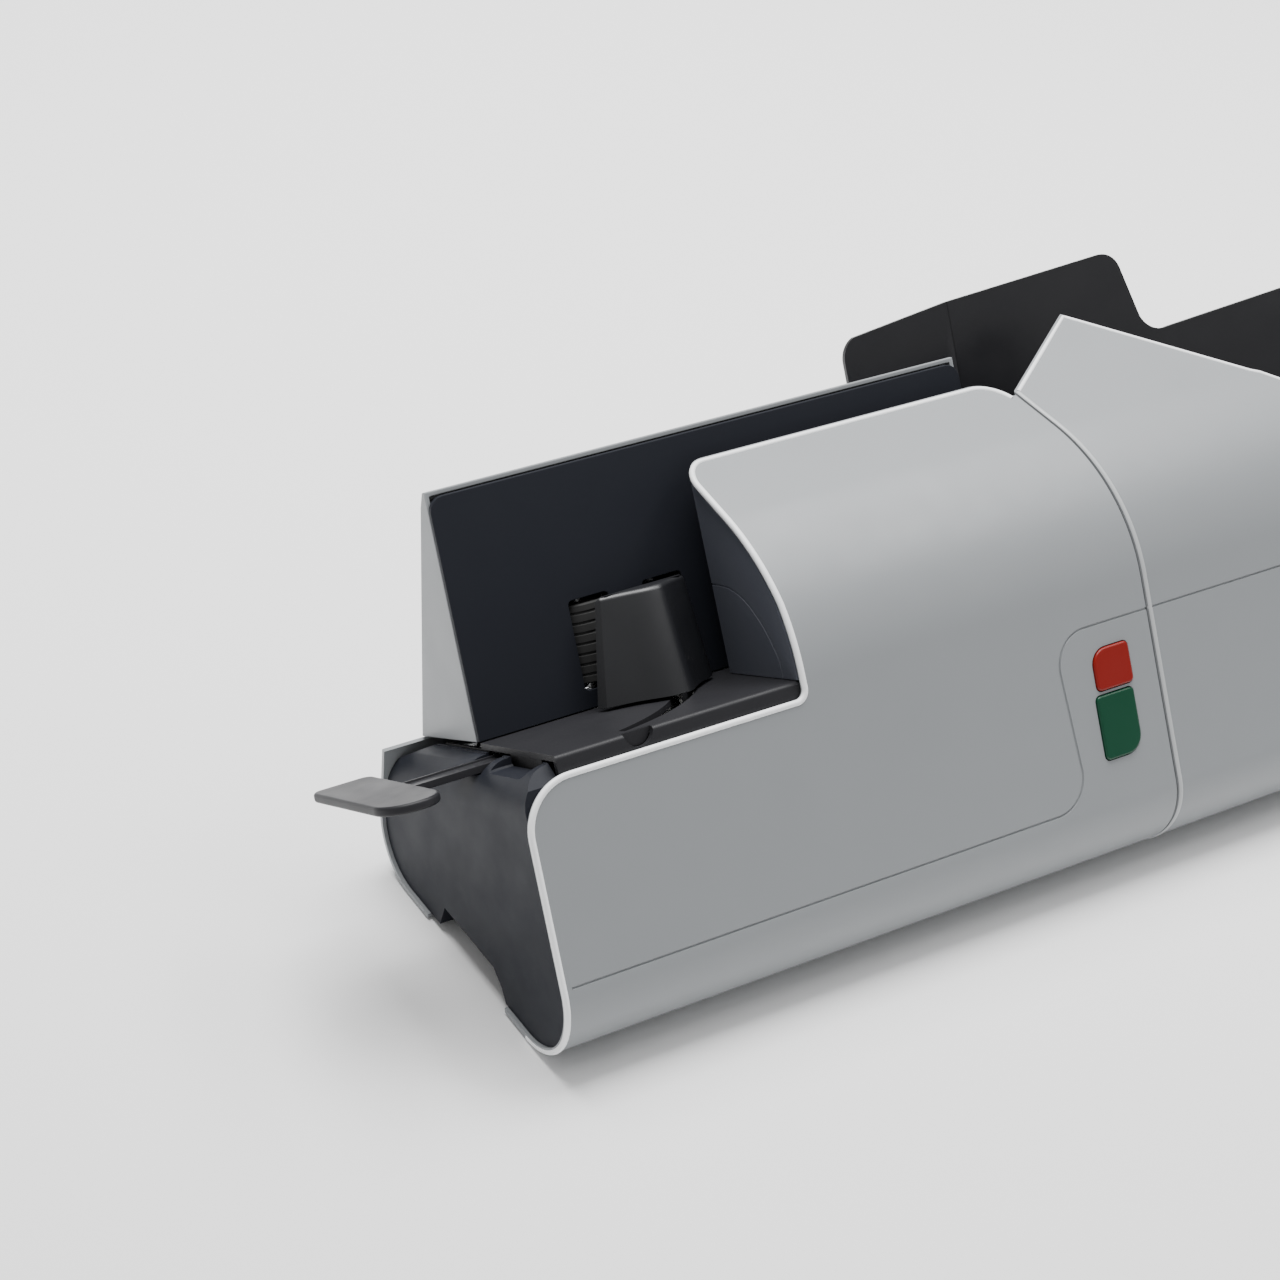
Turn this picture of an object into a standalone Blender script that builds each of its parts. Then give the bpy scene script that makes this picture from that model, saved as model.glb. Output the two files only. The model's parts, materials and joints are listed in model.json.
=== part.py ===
"""Franking machine: mail stands on edge, leans back on a guide wall and is fed from left to right.

Units in the tables below are millimetres; MM turns them into metres.
Two frames are used, each an empty that the pieces are parented to:
  machine    x from the left end, y towards the back, z up from the table
  mail_line  the same x, turned back by LEAN about it, so that y runs into the machine along the
             deck and z runs up the face of the mail; its origin is the foot of the mail
"""

import math

import bmesh
import bpy
from mathutils import Matrix

# ---------------------------------------------------------------- driving dimensions
MM = 0.001
LEAN = math.radians(30.0)        # the mail and the front faces lean back by this much
MAIL_HEIGHT = 118.0              # foot of the mail above the table
LENGTH = 780.0                   # over both modules
SEAM_X = 390.0                   # where the feed module meets the outfeed module, at the front face
SEAM_SLANT = 0.22                # the seam moves left by this much for each mm it goes back
CENTRE_X = 358.8                 # middle of the whole machine, support pad included
CENTRE_Y = 4.5                   # middle of its depth
GAP = 0.4                        # play between neighbouring pieces
SKIN = 3.0                       # wall thickness of the moulded covers

FRONT_Y = -74.0                  # front face, in front of the mail face
BEND_R = 110.0                   # roll of the front face into the sloping top
BEND_TURN = math.radians(51.0)
CURL_R = 36.0                    # roll of the front face under the machine
CURL_Z = -115.0
HOOD_BACK_Y = 1.5                # rear edge of the feed hood
END_X = 0.6                      # free left edge of the front cover
LEDGE_Z = -9.0                   # top edge of the front cover beside the open decks
HOOD_X = 168.0                   # left edge of the feed hood

WALL_Y = 12.0                    # face that the mail leans on
WALL_TOP = 128.0
WALL_LEFT = 24.3
WALL_RIGHT = 356.6
WALL_THICK = 3.0
BACK_Y = 59.5                    # face of the stacker's back wall

DECK_THICK = 3.2
DECK_FRONT_Y = -70.6
DECK_EDGE_R = 2.5                # roll over the deck's front edge
REAR_Y = 70.0                    # outside of the rear cover, machine frame
REAR_TOP = 75.0                  # top of the lower rear cover above the table

PIVOT = (38.0, 59.0)             # guide paddle's pivot on the deck plan
SLOT_R = 126.0                   # outer radius of the crescent slot

ROLLER_Y = 26.0                  # axis of the driven rollers behind the wall
ROLLER_R = 15.0
ROLLER_X = (102.0, 147.0, 192.0, 312.0)
MOTOR_X = 252.0
PULLEY_R = 9.0
PINCH_R = 11.0
PINCH_Y = WALL_Y - 1.4 - PINCH_R  # axis of the two idle rollers in front of the wall
SHAFT_R = 3.0
BORE_R = 3.3                     # hole that a shaft turns in
BRACKET_BACK_Y = 6.0
COVER_T = 2.5                    # wall of the rear and tower covers
REAR_R = 34.0                    # roll of the rear cover under the machine

ROCKER_AXIS = (63.0, 48.0)       # the mains rocker's pivot, machine frame
ROCKER_TILT = math.radians(7.0)  # it rests tipped to its off side
RED_BUTTON = ((348.4, -54.2), (373.2, -31.2))
GREEN_BUTTON = ((346.3, -92.2), (371.8, -56.6))

MATERIALS = {
    "cover": ((0.42, 0.44, 0.46), 0.42, 0.0),
    "charcoal": ((0.045, 0.048, 0.062), 0.5, 0.0),
    "black": ((0.012, 0.012, 0.016), 0.45, 0.0),
    "red": ((0.42, 0.035, 0.02), 0.35, 0.0),
    "green": ((0.0, 0.12, 0.06), 0.35, 0.0),
    "rubber": ((0.02, 0.02, 0.02), 0.85, 0.0),
    "steel": ((0.55, 0.56, 0.58), 0.3, 1.0),
    "zinc": ((0.6, 0.6, 0.58), 0.45, 1.0),
    "board": ((0.02, 0.16, 0.06), 0.5, 0.0),
    "nylon": ((0.75, 0.73, 0.68), 0.5, 0.0),
}


# ---------------------------------------------------------------- scene and helpers
def clear_scene():
    """Remove every object, so the script can run in any file."""
    for obj in list(bpy.data.objects):
        bpy.data.objects.remove(obj, do_unlink=True)


def new_collection(name):
    """A collection linked to the scene."""
    collection = bpy.data.collections.new(name)
    bpy.context.scene.collection.children.link(collection)
    return collection


clear_scene()
PARTS = new_collection("franking_machine")
CUTTERS = new_collection("cutters")


def new_empty(name, location, lean=0.0, parent=None):
    """An empty that carries a frame."""
    empty = bpy.data.objects.new(name, None)
    empty.location = [value * MM for value in location]
    empty.rotation_euler = (-lean, 0.0, 0.0)
    empty.parent = parent
    PARTS.objects.link(empty)
    return empty


MACHINE = new_empty("machine", (-CENTRE_X, -CENTRE_Y, 0.0))
MAIL = new_empty("mail_line", (0.0, 0.0, MAIL_HEIGHT), LEAN, MACHINE)


def finish(node, name):
    """Principled material in a node's own colour."""
    colour, roughness, metallic = MATERIALS[name]
    material = bpy.data.materials.new(node.name + "_" + name)
    material.use_nodes = True
    shader = material.node_tree.nodes["Principled BSDF"]
    shader.inputs["Base Color"].default_value = (*colour, 1.0)
    shader.inputs["Roughness"].default_value = roughness
    shader.inputs["Metallic"].default_value = metallic
    node.data.materials.clear()
    node.data.materials.append(material)


def add_object(name, mesh, frame, material):
    """Link a mesh as a part, or as a cutter when it has no material."""
    node = bpy.data.objects.new(name, mesh)
    node.parent = frame
    if material is None:
        CUTTERS.objects.link(node)
        node.hide_render = True
        node.display_type = "WIRE"
    else:
        PARTS.objects.link(node)
        finish(node, material)
        mesh.shade_smooth()
        mesh.set_sharp_from_angle(angle=math.radians(30))
    return node


# How a flat outline's own axes (u, v, thickness) stand in a frame
DECK = Matrix(((1, 0, 0), (0, 1, 0), (0, 0, 1))).to_4x4()      # (x, y), thick along z
SIDE = Matrix(((0, 0, 1), (1, 0, 0), (0, 1, 0))).to_4x4()      # (y, z), thick along x
FACE = Matrix(((1, 0, 0), (0, 0, 1), (0, 1, 0))).to_4x4()      # (x, z), thick along y


def plate_mesh(name, loops, low, high, plane):
    """Mesh of a flat outline, with any holes, between two levels of its thickness."""
    curve = bpy.data.curves.new(name, "CURVE")
    curve.dimensions = "2D"
    curve.fill_mode = "BOTH"
    curve.extrude = (high - low) / 2 * MM
    for loop in loops:
        spline = curve.splines.new("POLY")
        spline.points.add(len(loop) - 1)
        spline.use_cyclic_u = True
        for point, (u, v) in zip(spline.points, loop):
            point.co = (u * MM, v * MM, 0.0, 1.0)
    holder = bpy.data.objects.new(name, curve)
    CUTTERS.objects.link(holder)
    graph = bpy.context.evaluated_depsgraph_get()
    mesh = bpy.data.meshes.new_from_object(holder.evaluated_get(graph))
    bpy.data.objects.remove(holder)
    bpy.data.curves.remove(curve)
    mesh.transform(plane @ Matrix.Translation((0, 0, (low + high) / 2 * MM)))
    weld(mesh)
    return mesh


def weld(mesh):
    """Join a mesh's loose caps and point its faces out."""
    bm = bmesh.new()
    bm.from_mesh(mesh)
    bmesh.ops.remove_doubles(bm, verts=bm.verts, dist=0.00001)
    bmesh.ops.recalc_face_normals(bm, faces=bm.faces)
    bm.to_mesh(mesh)
    bm.free()


def plate(name, outline, low, high, plane, frame, material, holes=()):
    """A part cut from flat sheet: an outline, its holes, and two levels."""
    mesh = plate_mesh(name, [outline, *holes], low, high, plane)
    return add_object(name, mesh, frame, material)


def cutter(name, outline, low, high, plane, frame):
    """A prism that another part is cut or kept by."""
    return plate(name, outline, low, high, plane, frame, None)


def block(name, x, y, z, frame, material, bevel=0.0):
    """A box between pairs of limits, its edges rounded by a bevel."""
    mesh = bpy.data.meshes.new(name)
    bm = bmesh.new()
    bmesh.ops.create_cube(bm, size=1.0)
    for vert in bm.verts:
        for axis, (low, high) in enumerate((x, y, z)):
            vert.co[axis] = (low if vert.co[axis] < 0 else high) * MM
    bm.to_mesh(mesh)
    bm.free()
    node = add_object(name, mesh, frame, material)
    if bevel:
        round_edges(node, bevel)
    return node


def round_edges(node, width, segments=2, angle=40):
    """Live bevel on the edges sharper than an angle."""
    bevel = node.modifiers.new("round_edges", "BEVEL")
    bevel.width = width * MM
    bevel.segments = segments
    bevel.limit_method = "ANGLE"
    bevel.angle_limit = math.radians(angle)


def turned(name, profile, centre, frame, material, steps=20, ring=False):
    """A turned piece: (radius, height) pairs from top to bottom, spun about an upright axis."""
    mesh = bpy.data.meshes.new(name)
    verts = [(radius * MM, 0.0, height * MM) for radius, height in profile]
    edges = [(i, i + 1) for i in range(len(verts) - 1)]
    if ring:
        edges.append((len(verts) - 1, 0))
    mesh.from_pydata(verts, edges, [])
    node = add_object(name, mesh, frame, material)
    node.location = [value * MM for value in centre]
    screw = node.modifiers.new("turn", "SCREW")
    screw.steps = steps
    screw.render_steps = steps
    screw.use_merge_vertices = True
    screw.merge_threshold = 0.00001
    screw.use_smooth_shade = True
    return node


def solid_rod(radius, low, high):
    """Profile of a plain rod for turned()."""
    return [(0.0, high), (radius, high), (radius, low), (0.0, low)]


def boolean(node, tool, operation):
    """Live exact boolean between two objects."""
    modifier = node.modifiers.new(operation.lower(), "BOOLEAN")
    modifier.operation = operation
    modifier.object = tool
    modifier.solver = "EXACT"


def cut(node, *tools):
    """Take tools away from a part."""
    for tool in tools:
        boolean(node, tool, "DIFFERENCE")


def keep(node, tool):
    """Leave only what lies inside a tool."""
    boolean(node, tool, "INTERSECT")


def join(node, *pieces):
    """Join cutter pieces to a part as one body."""
    for piece in pieces:
        boolean(node, piece, "UNION")


def arc(centre, radius, start, end, count=8):
    """Points on an arc, angles in degrees."""
    points = []
    for i in range(count + 1):
        angle = math.radians(start + (end - start) * i / count)
        points.append((centre[0] + radius * math.cos(angle), centre[1] + radius * math.sin(angle)))
    return points


def rounded(low, high, radii, count=4):
    """Rounded rectangle; radii run from the low corner, anticlockwise."""
    (x0, y0), (x1, y1) = low, high
    r0, r1, r2, r3 = radii
    return (arc((x0 + r0, y0 + r0), r0, 180, 270, count) + arc((x1 - r1, y0 + r1), r1, 270, 360, count)
            + arc((x1 - r2, y1 - r2), r2, 0, 90, count) + arc((x0 + r3, y1 - r3), r3, 90, 180, count))


def circle(centre, radius, count=20):
    """Closed ring of points."""
    return arc(centre, radius, 0, 360 * (count - 1) / count, count - 1)


def to_machine(point):
    """A (y, z) pair of the mail line as the machine frame sees it."""
    y, z = point
    return (y * math.cos(LEAN) + z * math.sin(LEAN),
            MAIL_HEIGHT - y * math.sin(LEAN) + z * math.cos(LEAN))


def seam_x(y):
    """Place of the slanted seam at a depth on the mail line."""
    return SEAM_X - SEAM_SLANT * (y - FRONT_Y)


# ---------------------------------------------------------------- front covers
BEND_CENTRE = (FRONT_Y + BEND_R, 0.5)
CURL_CENTRE = (FRONT_Y + CURL_R, CURL_Z)
STRIP = 22.0                     # flat strip of the cover under the machine


def slope_point(y, inset=0.0):
    """Point of the sloping top at a depth, moved inwards by inset."""
    start_y = BEND_CENTRE[0] - (BEND_R - inset) * math.cos(BEND_TURN)
    start_z = BEND_CENTRE[1] + (BEND_R - inset) * math.sin(BEND_TURN)
    return (y, start_z + (y - start_y) / math.tan(BEND_TURN))


def cover_profile(inset, top_y, strip=STRIP):
    """Side view of the front covers on the mail line, from under the machine to depth top_y."""
    radius = CURL_R - inset
    curl = arc(CURL_CENTRE, radius, 300, 180, 10)
    tail = (curl[0][0] + strip * math.cos(LEAN), curl[0][1] + strip * math.sin(LEAN))
    roll = arc(BEND_CENTRE, BEND_R - inset, 180, 180 - math.degrees(BEND_TURN), 12)
    return [tail, *curl, *roll, slope_point(top_y, inset)]


def shell_outline(top_y):
    """Closed side view of a front cover's wall."""
    return cover_profile(0.0, top_y) + cover_profile(SKIN, top_y)[::-1]


def front_trim(left, right):
    """Front view of a cover's blank: rounded lower corners where an end is free."""
    outline = [(END_X, -170.0)] if left else [(-20.0, -170.0)]
    if left:
        outline += arc((END_X + 28.0, LEDGE_Z - 28.0), 28.0, 180, 90, 6)
        outline += arc((HOOD_X - 5.0, LEDGE_Z + 5.0), 5.0, 270, 360, 3)
        outline += [(HOOD_X, 40.0), (HOOD_X - 3.0, 90.0), (HOOD_X - 3.6, 170.0)]
    else:
        outline += [(-20.0, 170.0)]
    if right:
        far = [(LENGTH - END_X, -170.0)]
        corner = [(LENGTH - x, z) for x, z in arc((END_X + 28.0, LEDGE_Z - 28.0), 28.0, 180, 90, 6)]
        rise = [(LENGTH - x, z) for x, z in
                arc((LENGTH - WING_FOOT_X - 16.0, LEDGE_Z + 12.0), 12.0, 270, 360, 5)]
        outline += [(WING_FOOT_X, 170.0), *rise[::-1], *corner[::-1], *far[::-1]]
    else:
        outline += [(LENGTH, 170.0), (LENGTH, -170.0)]
    return outline


WING_A = (seam_x(-8.0) + 1.2, -8.0)          # where the wing edge leaves the seam
WING_B = (446.0, 30.5)                       # rearmost corner of the wing
WING_C = (536.0, -41.0)                      # a point on its right edge
WING_FOOT_X = 590.0                          # where that edge reaches the ledge


def wing_slope():
    """Slope of the wing's right edge on plan, x for each y."""
    return (WING_C[0] - WING_B[0]) / (WING_C[1] - WING_B[1])


def make_feed_cover():
    """Front cover of the feed module, with its hood and the button openings."""
    cover = plate("feed_cover", shell_outline(HOOD_BACK_Y), 0.0, SEAM_X + 20.0, SIDE, MAIL, "cover")
    keep(cover, cutter("feed_trim", front_trim(True, False), -150.0, 60.0, FACE, MAIL))
    beyond = [(seam_x(-170.0), -170.0), (LENGTH, -170.0), (LENGTH, 120.0), (seam_x(120.0), 120.0)]
    cut(cover, cutter("seam_cutter", beyond, -170.0, 170.0, DECK, MAIL))
    left = [(100.0, 40.0), (100.0, -14.0)] + arc((HOOD_X + 10.0, -12.0), 13.5, 180, 90, 5) + [(178.0, 40.0)]
    right = [(seam_x(-12.0) + 40.0, -12.0), (seam_x(-12.0) + 40.0, 40.0), (354.0, 40.0), (354.0, 1.5)]
    right += arc((354.0, -20.5), 22.0, 88, 28, 6)
    cut(cover, cutter("hood_corner_left", left, 84.0, 170.0, DECK, MAIL))
    cut(cover, cutter("hood_corner_right", right, 70.0, 170.0, DECK, MAIL))
    for name, (low, high), radii in (("red_hole", RED_BUTTON, (3.5, 3.5, 3.5, 10.0)),
                                     ("green_hole", GREEN_BUTTON, (3.5, 11.0, 3.5, 3.5))):
        wide = rounded((low[0] - GAP, low[1] - GAP), (high[0] + GAP, high[1] + GAP), radii)
        cut(cover, cutter(name, wide, -90.0, -60.0, FACE, MAIL))
    return cover


def make_outfeed_cover():
    """Front cover of the outfeed module, with the pointed wing that deflects the mail."""
    cover = plate("outfeed_cover", shell_outline(40.0), SEAM_X - 40.0, LENGTH, SIDE, MAIL, "cover")
    keep(cover, cutter("outfeed_trim", front_trim(False, True), -150.0, 80.0, FACE, MAIL))
    before = [(200.0, -170.0), (seam_x(-170.0) + 0.9, -170.0), (seam_x(120.0) + 0.9, 120.0), (200.0, 120.0)]
    cut(cover, cutter("seam_side", before, -170.0, 190.0, DECK, MAIL))
    reach = wing_slope()
    left_edge = [WING_A, WING_B, (WING_B[0], 100.0), (300.0, 100.0), (300.0, WING_A[1])]
    right_edge = [WING_B, (WING_B[0] + reach * (-100.0 - WING_B[1]), -100.0), (LENGTH + 20.0, -100.0),
                  (LENGTH + 20.0, 100.0), (WING_B[0] - 30.0, 100.0)]
    cut(cover, cutter("wing_left_cutter", left_edge, 0.0, 190.0, DECK, MAIL))
    cut(cover, cutter("wing_right_cutter", right_edge, 6.0, 190.0, DECK, MAIL))
    return cover


# ---------------------------------------------------------------- ends, rear and base
def rear_profile(inset, top=REAR_TOP):
    """Side view of the lower rear cover in the machine frame, from its foot upwards."""
    curl = arc((REAR_Y - REAR_R, REAR_R + 1.2), REAR_R - inset, 270, 360, 8)
    return [(14.0, 1.2 + inset), *curl, (REAR_Y - inset, top)]


def make_rear_cover():
    """Lower rear cover, with openings for the inlet, the switch and the air."""
    outline = rear_profile(0.0) + rear_profile(COVER_T)[::-1]
    cover = plate("rear_cover", outline, 0.4, LENGTH - 0.4, SIDE, MACHINE, "cover")
    cut(cover, block("inlet_hole", (670.0, 698.0), (60.0, 90.0), (38.0, 58.0), MACHINE, None))
    cut(cover, block("switch_hole", (706.0, 727.0), (60.0, 90.0), (38.0, 58.0), MACHINE, None))
    for i in range(9):
        x = 560.0 + 10.0 * i
        cut(cover, block("vent_%d" % i, (x, x + 4.0), (60.0, 90.0), (36.0, 62.0), MACHINE, None))
    return cover


def tower_profile(inset, rise=0.0):
    """Side view of the feed tower behind the guide wall, in the machine frame."""
    top_front = to_machine((WALL_Y + WALL_THICK + GAP, 131.0 - inset))
    top_back = to_machine((WALL_Y + WALL_THICK + 3.4, 131.0 - inset))
    shoulder = (REAR_Y + 12.0 - inset, 213.0 - inset)
    foot_front = to_machine((WALL_Y + WALL_THICK + GAP - rise, -rise))
    return [top_front, foot_front, (REAR_Y - inset, REAR_TOP + 0.5 - rise), shoulder, top_back]


def make_tower_cover():
    """Rear half of the feed tower: a back, two cheeks and a top lip, open towards the wall."""
    cover = plate("tower_cover", tower_profile(0.0), WALL_LEFT, WALL_RIGHT, SIDE, MACHINE, "cover")
    cut(cover, cutter("tower_hollow", tower_profile(COVER_T, 12.0),
                      WALL_LEFT + COVER_T, WALL_RIGHT - COVER_T, SIDE, MACHINE))
    return cover


def cap_outline():
    """Side view of an end cap in the machine frame: inside the covers, arched between its feet."""
    front = [to_machine(point) for point in cover_profile(SKIN + GAP, FRONT_Y + 3.4)[1:12]]
    top_front = to_machine((FRONT_Y + SKIN + GAP, LEDGE_Z - 4.0))
    crown = to_machine((FRONT_Y + 12.0, -DECK_THICK - 0.8))
    top_back = to_machine((62.0, -DECK_THICK - 0.8))
    rear = rear_profile(COVER_T + GAP, 68.0)[:0:-1]
    arch = [(4.0, rear[-1][1]), (0.0, 18.0), (-52.0, 18.0), (-61.0, 11.5), (-66.4, 4.6)]
    return [*arch, *front, top_front, crown, top_back, *rear]


def make_end_cap(name, outer_x, inner_x):
    """Dark end cap: a shallow box open towards the inside, its upper outer edge rolled."""
    low, high = min(outer_x, inner_x), max(outer_x, inner_x)
    cap = plate(name, cap_outline(), low, high, SIDE, MACHINE, "charcoal")
    step = 1.0 if inner_x > outer_x else -1.0
    roll_x = outer_x + 20.0 * step
    shave = [(outer_x - 10.0 * step, 12.0), (outer_x - 10.0 * step, -24.5)]
    sweep = (180, 90) if step > 0 else (0, 90)
    shave += arc((roll_x, -24.5), 20.0, *sweep, 6)
    shave += [(roll_x, 12.0)]
    cut(cap, cutter(name + "_roll", shave, -120.0, 90.0, FACE, MAIL))
    core = [(-96.0, 30.0), (-92.0, 62.0), (-60.0, 108.0), (0.0, 80.0), (58.0, 50.0), (58.0, 30.0)]
    inside = (low + 3.0, high + 5.0) if step > 0 else (low - 5.0, high - 3.0)
    cut(cap, cutter(name + "_core", core, *inside, SIDE, MACHINE))
    return cap


def make_ends():
    """Both end caps; the left one lets the mail support through."""
    left = make_end_cap("left_end_cap", 2.4, 23.9)
    cut(left, block("support_slot", (-10.0, 40.0), (-15.0, 3.0), (-10.2, 10.0), MAIL, None))
    cut(left, cutter("finger_scoop", circle((18.0, -40.0), 19.0, 24), -9.0, 10.0, DECK, MAIL))
    make_end_cap("right_end_cap", LENGTH - 2.4, LENGTH - 23.9)


def make_base():
    """Steel base plate, its rubber feet and the cross frames that carry the decks."""
    plate("base_plate", rounded((26.0, -92.0), (LENGTH - 26.0, 60.0), (4.0,) * 4, 2),
          19.0, 21.0, DECK, MACHINE, "zinc")
    foot = [(0.0, 18.6), (10.0, 18.6), (10.0, 1.0), (9.0, 0.0), (0.0, 0.0)]
    for side, x in (("left", 60.0), ("right", LENGTH - 60.0)):
        for end, y in (("front", -54.0), ("back", 0.0)):
            turned("foot_%s_%s" % (end, side), foot, (x, y, 0.0), MACHINE, "rubber", 16)
    for name, x in (("left_frame", 25.6), ("middle_frame", 384.0), ("right_frame", 752.0)):
        front = to_machine((-52.0, -DECK_THICK - GAP))
        back = to_machine((56.0, -DECK_THICK - GAP))
        outline = [(-88.0, 21.4), (-88.0, 60.0), front, back, (58.0, 60.0), (58.0, 21.4)]
        hole = [(-50.0, 38.0), (29.0, 39.0), (28.0, 52.0), (-38.0, 58.0), (-49.0, 57.0)]
        frame = plate(name, outline, x, x + 2.0, SIDE, MACHINE, "zinc", [hole])
        if x < 100.0:
            cut(frame, block("channel_notch", (x - 5.0, x + 5.0), (-18.0, 6.0), (-12.4, 5.0), MAIL, None))


# ---------------------------------------------------------------- decks and walls
def deck_section(depth):
    """Side view of a deck: flat, then rolled over its front edge."""
    inner_y = DECK_FRONT_Y + DECK_THICK
    edge = arc((DECK_FRONT_Y + DECK_EDGE_R, -DECK_EDGE_R), DECK_EDGE_R, 90, 180, 5)
    return [(depth, 0.0), *edge, (DECK_FRONT_Y, -16.0), (inner_y, -16.0), (inner_y, -DECK_THICK),
            (depth, -DECK_THICK)]


def crescent():
    """Plan of the slot that the paddle's blade sweeps, about its pivot."""
    outer = arc(PIVOT, SLOT_R, 284, 329, 12)
    inner = [(PIVOT[0] + (SLOT_R - 5.5 - 8.0 * t) * math.cos(math.radians(329 - 45 * (1 - t))),
              PIVOT[1] + (SLOT_R - 5.5 - 8.0 * t) * math.sin(math.radians(329 - 45 * (1 - t))))
             for t in [1 - i / 12 for i in range(13)]]
    return outer + inner


def make_feed_deck():
    """Feed deck with the crescent slot and the thumb notch in its rolled edge."""
    deck = plate("feed_deck", deck_section(11.4), WALL_LEFT, 372.0, SIDE, MAIL, "charcoal")
    cut(deck, cutter("crescent_slot", crescent(), -40.0, 20.0, DECK, MAIL))
    cut(deck, cutter("thumb_notch", circle((72.0, 0.4), 8.6, 24), -80.0, -66.0, FACE, MAIL))
    pinch_holes = [circle((x, PINCH_Y), SHAFT_R + 2.0, 12) for x in (ROLLER_X[2], ROLLER_X[3])]
    for i, ring in enumerate(pinch_holes):
        cut(deck, cutter("deck_hole_%d" % i, ring, -40.0, 20.0, DECK, MAIL))
    return deck


def make_stacker_deck():
    """Deck of the outfeed module; behind the guide it is the floor of the stacker."""
    deck = plate("stacker_deck", deck_section(76.0), 357.2, LENGTH - 24.3, SIDE, MAIL, "charcoal")
    cut(deck, block("deck_corner", (300.0, 372.6), (-100.0, 15.6), (-40.0, 20.0), MAIL, None))
    return deck


def make_guide_wall():
    """Wall that the mail leans on, with windows for the four driven rollers."""
    outline = ([(WALL_LEFT, GAP), (WALL_RIGHT, GAP)]
               + arc((WALL_RIGHT - 8.0, WALL_TOP - 8.0), 8.0, 0, 90, 4)
               + arc((WALL_LEFT + 8.0, WALL_TOP - 8.0), 8.0, 90, 180, 4))
    holes = [rounded((x - 12.0, 10.0), (x + 12.0, 58.0), (2.0,) * 4, 2)[::-1] for x in ROLLER_X]
    return plate("rear_guide_wall", outline, WALL_Y, WALL_Y + WALL_THICK, FACE, MAIL, "charcoal", holes)


def make_side_wall():
    """Dark wall under the left edge of the hood."""
    inner = [p for p in cover_profile(SKIN + GAP, HOOD_BACK_Y - 4.0) if p[1] > 4.0]
    outline = [(-4.5, GAP), (FRONT_Y + SKIN + GAP, GAP), *inner]
    return plate("hood_side_wall", outline, HOOD_X - 0.8, HOOD_X + 2.2, SIDE, MAIL, "charcoal")


def make_stacker_wall():
    """Tall black back wall with the ribs that hold it up from behind."""
    ear = 100.0
    outline = [(359.0, GAP), (LENGTH - 26.0, GAP)]
    outline += arc((LENGTH - 38.0, 108.0), 12.0, 0, 90, 5)
    outline += [(640.0, 117.0)]
    outline += arc((541.5, 129.5), 18.0, 280, 205, 6)
    outline += arc((503.0, 149.0), 14.0, 15, 88, 6)
    outline += [(390.0, 157.5)]
    outline += arc((329.0, 137.5), 14.0, 112, 180, 5)
    outline += arc((325.0, ear + 10.0), 10.0, 180, 270, 4)
    outline += [(359.0, ear)]
    wall = plate("stacker_back_wall", outline, BACK_Y, BACK_Y + 2.5, FACE, MAIL, "black")
    rib = [(BACK_Y + 1.0, GAP), (74.0, GAP), (BACK_Y + 1.0, 64.0)]
    for x in (430.0, 560.0, 690.0):
        join(wall, cutter("wall_rib_%d" % x, rib, x, x + 3.0, SIDE, MAIL))


def make_wing_guide():
    """Upright guide under the wing's edges that turns the mail into the stacker."""
    reach = wing_slope()
    ax, ay = WING_A[0] + 4.0, WING_A[1] - 5.5
    bx, by = WING_B[0] + 0.3, WING_B[1] - 5.2
    cx, cy = bx + reach * (-70.0 - by), -70.0
    outside = [(ax, ay), (bx, by), (cx, cy)]
    inside = [(cx - 3.6, cy), (bx, by - 3.6), (ax + 1.2, ay - 2.6)]
    guide = plate("wing_guide", outside + inside, GAP, 150.0, DECK, MAIL, "charcoal")
    room = cover_profile(SKIN + GAP, 60.0)[13:]
    room = [(FRONT_Y + SKIN + GAP, -3.0), *room, (60.0, -3.0)]
    keep(guide, cutter("wing_room", room, 300.0, 700.0, SIDE, MAIL))
    return guide


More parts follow.
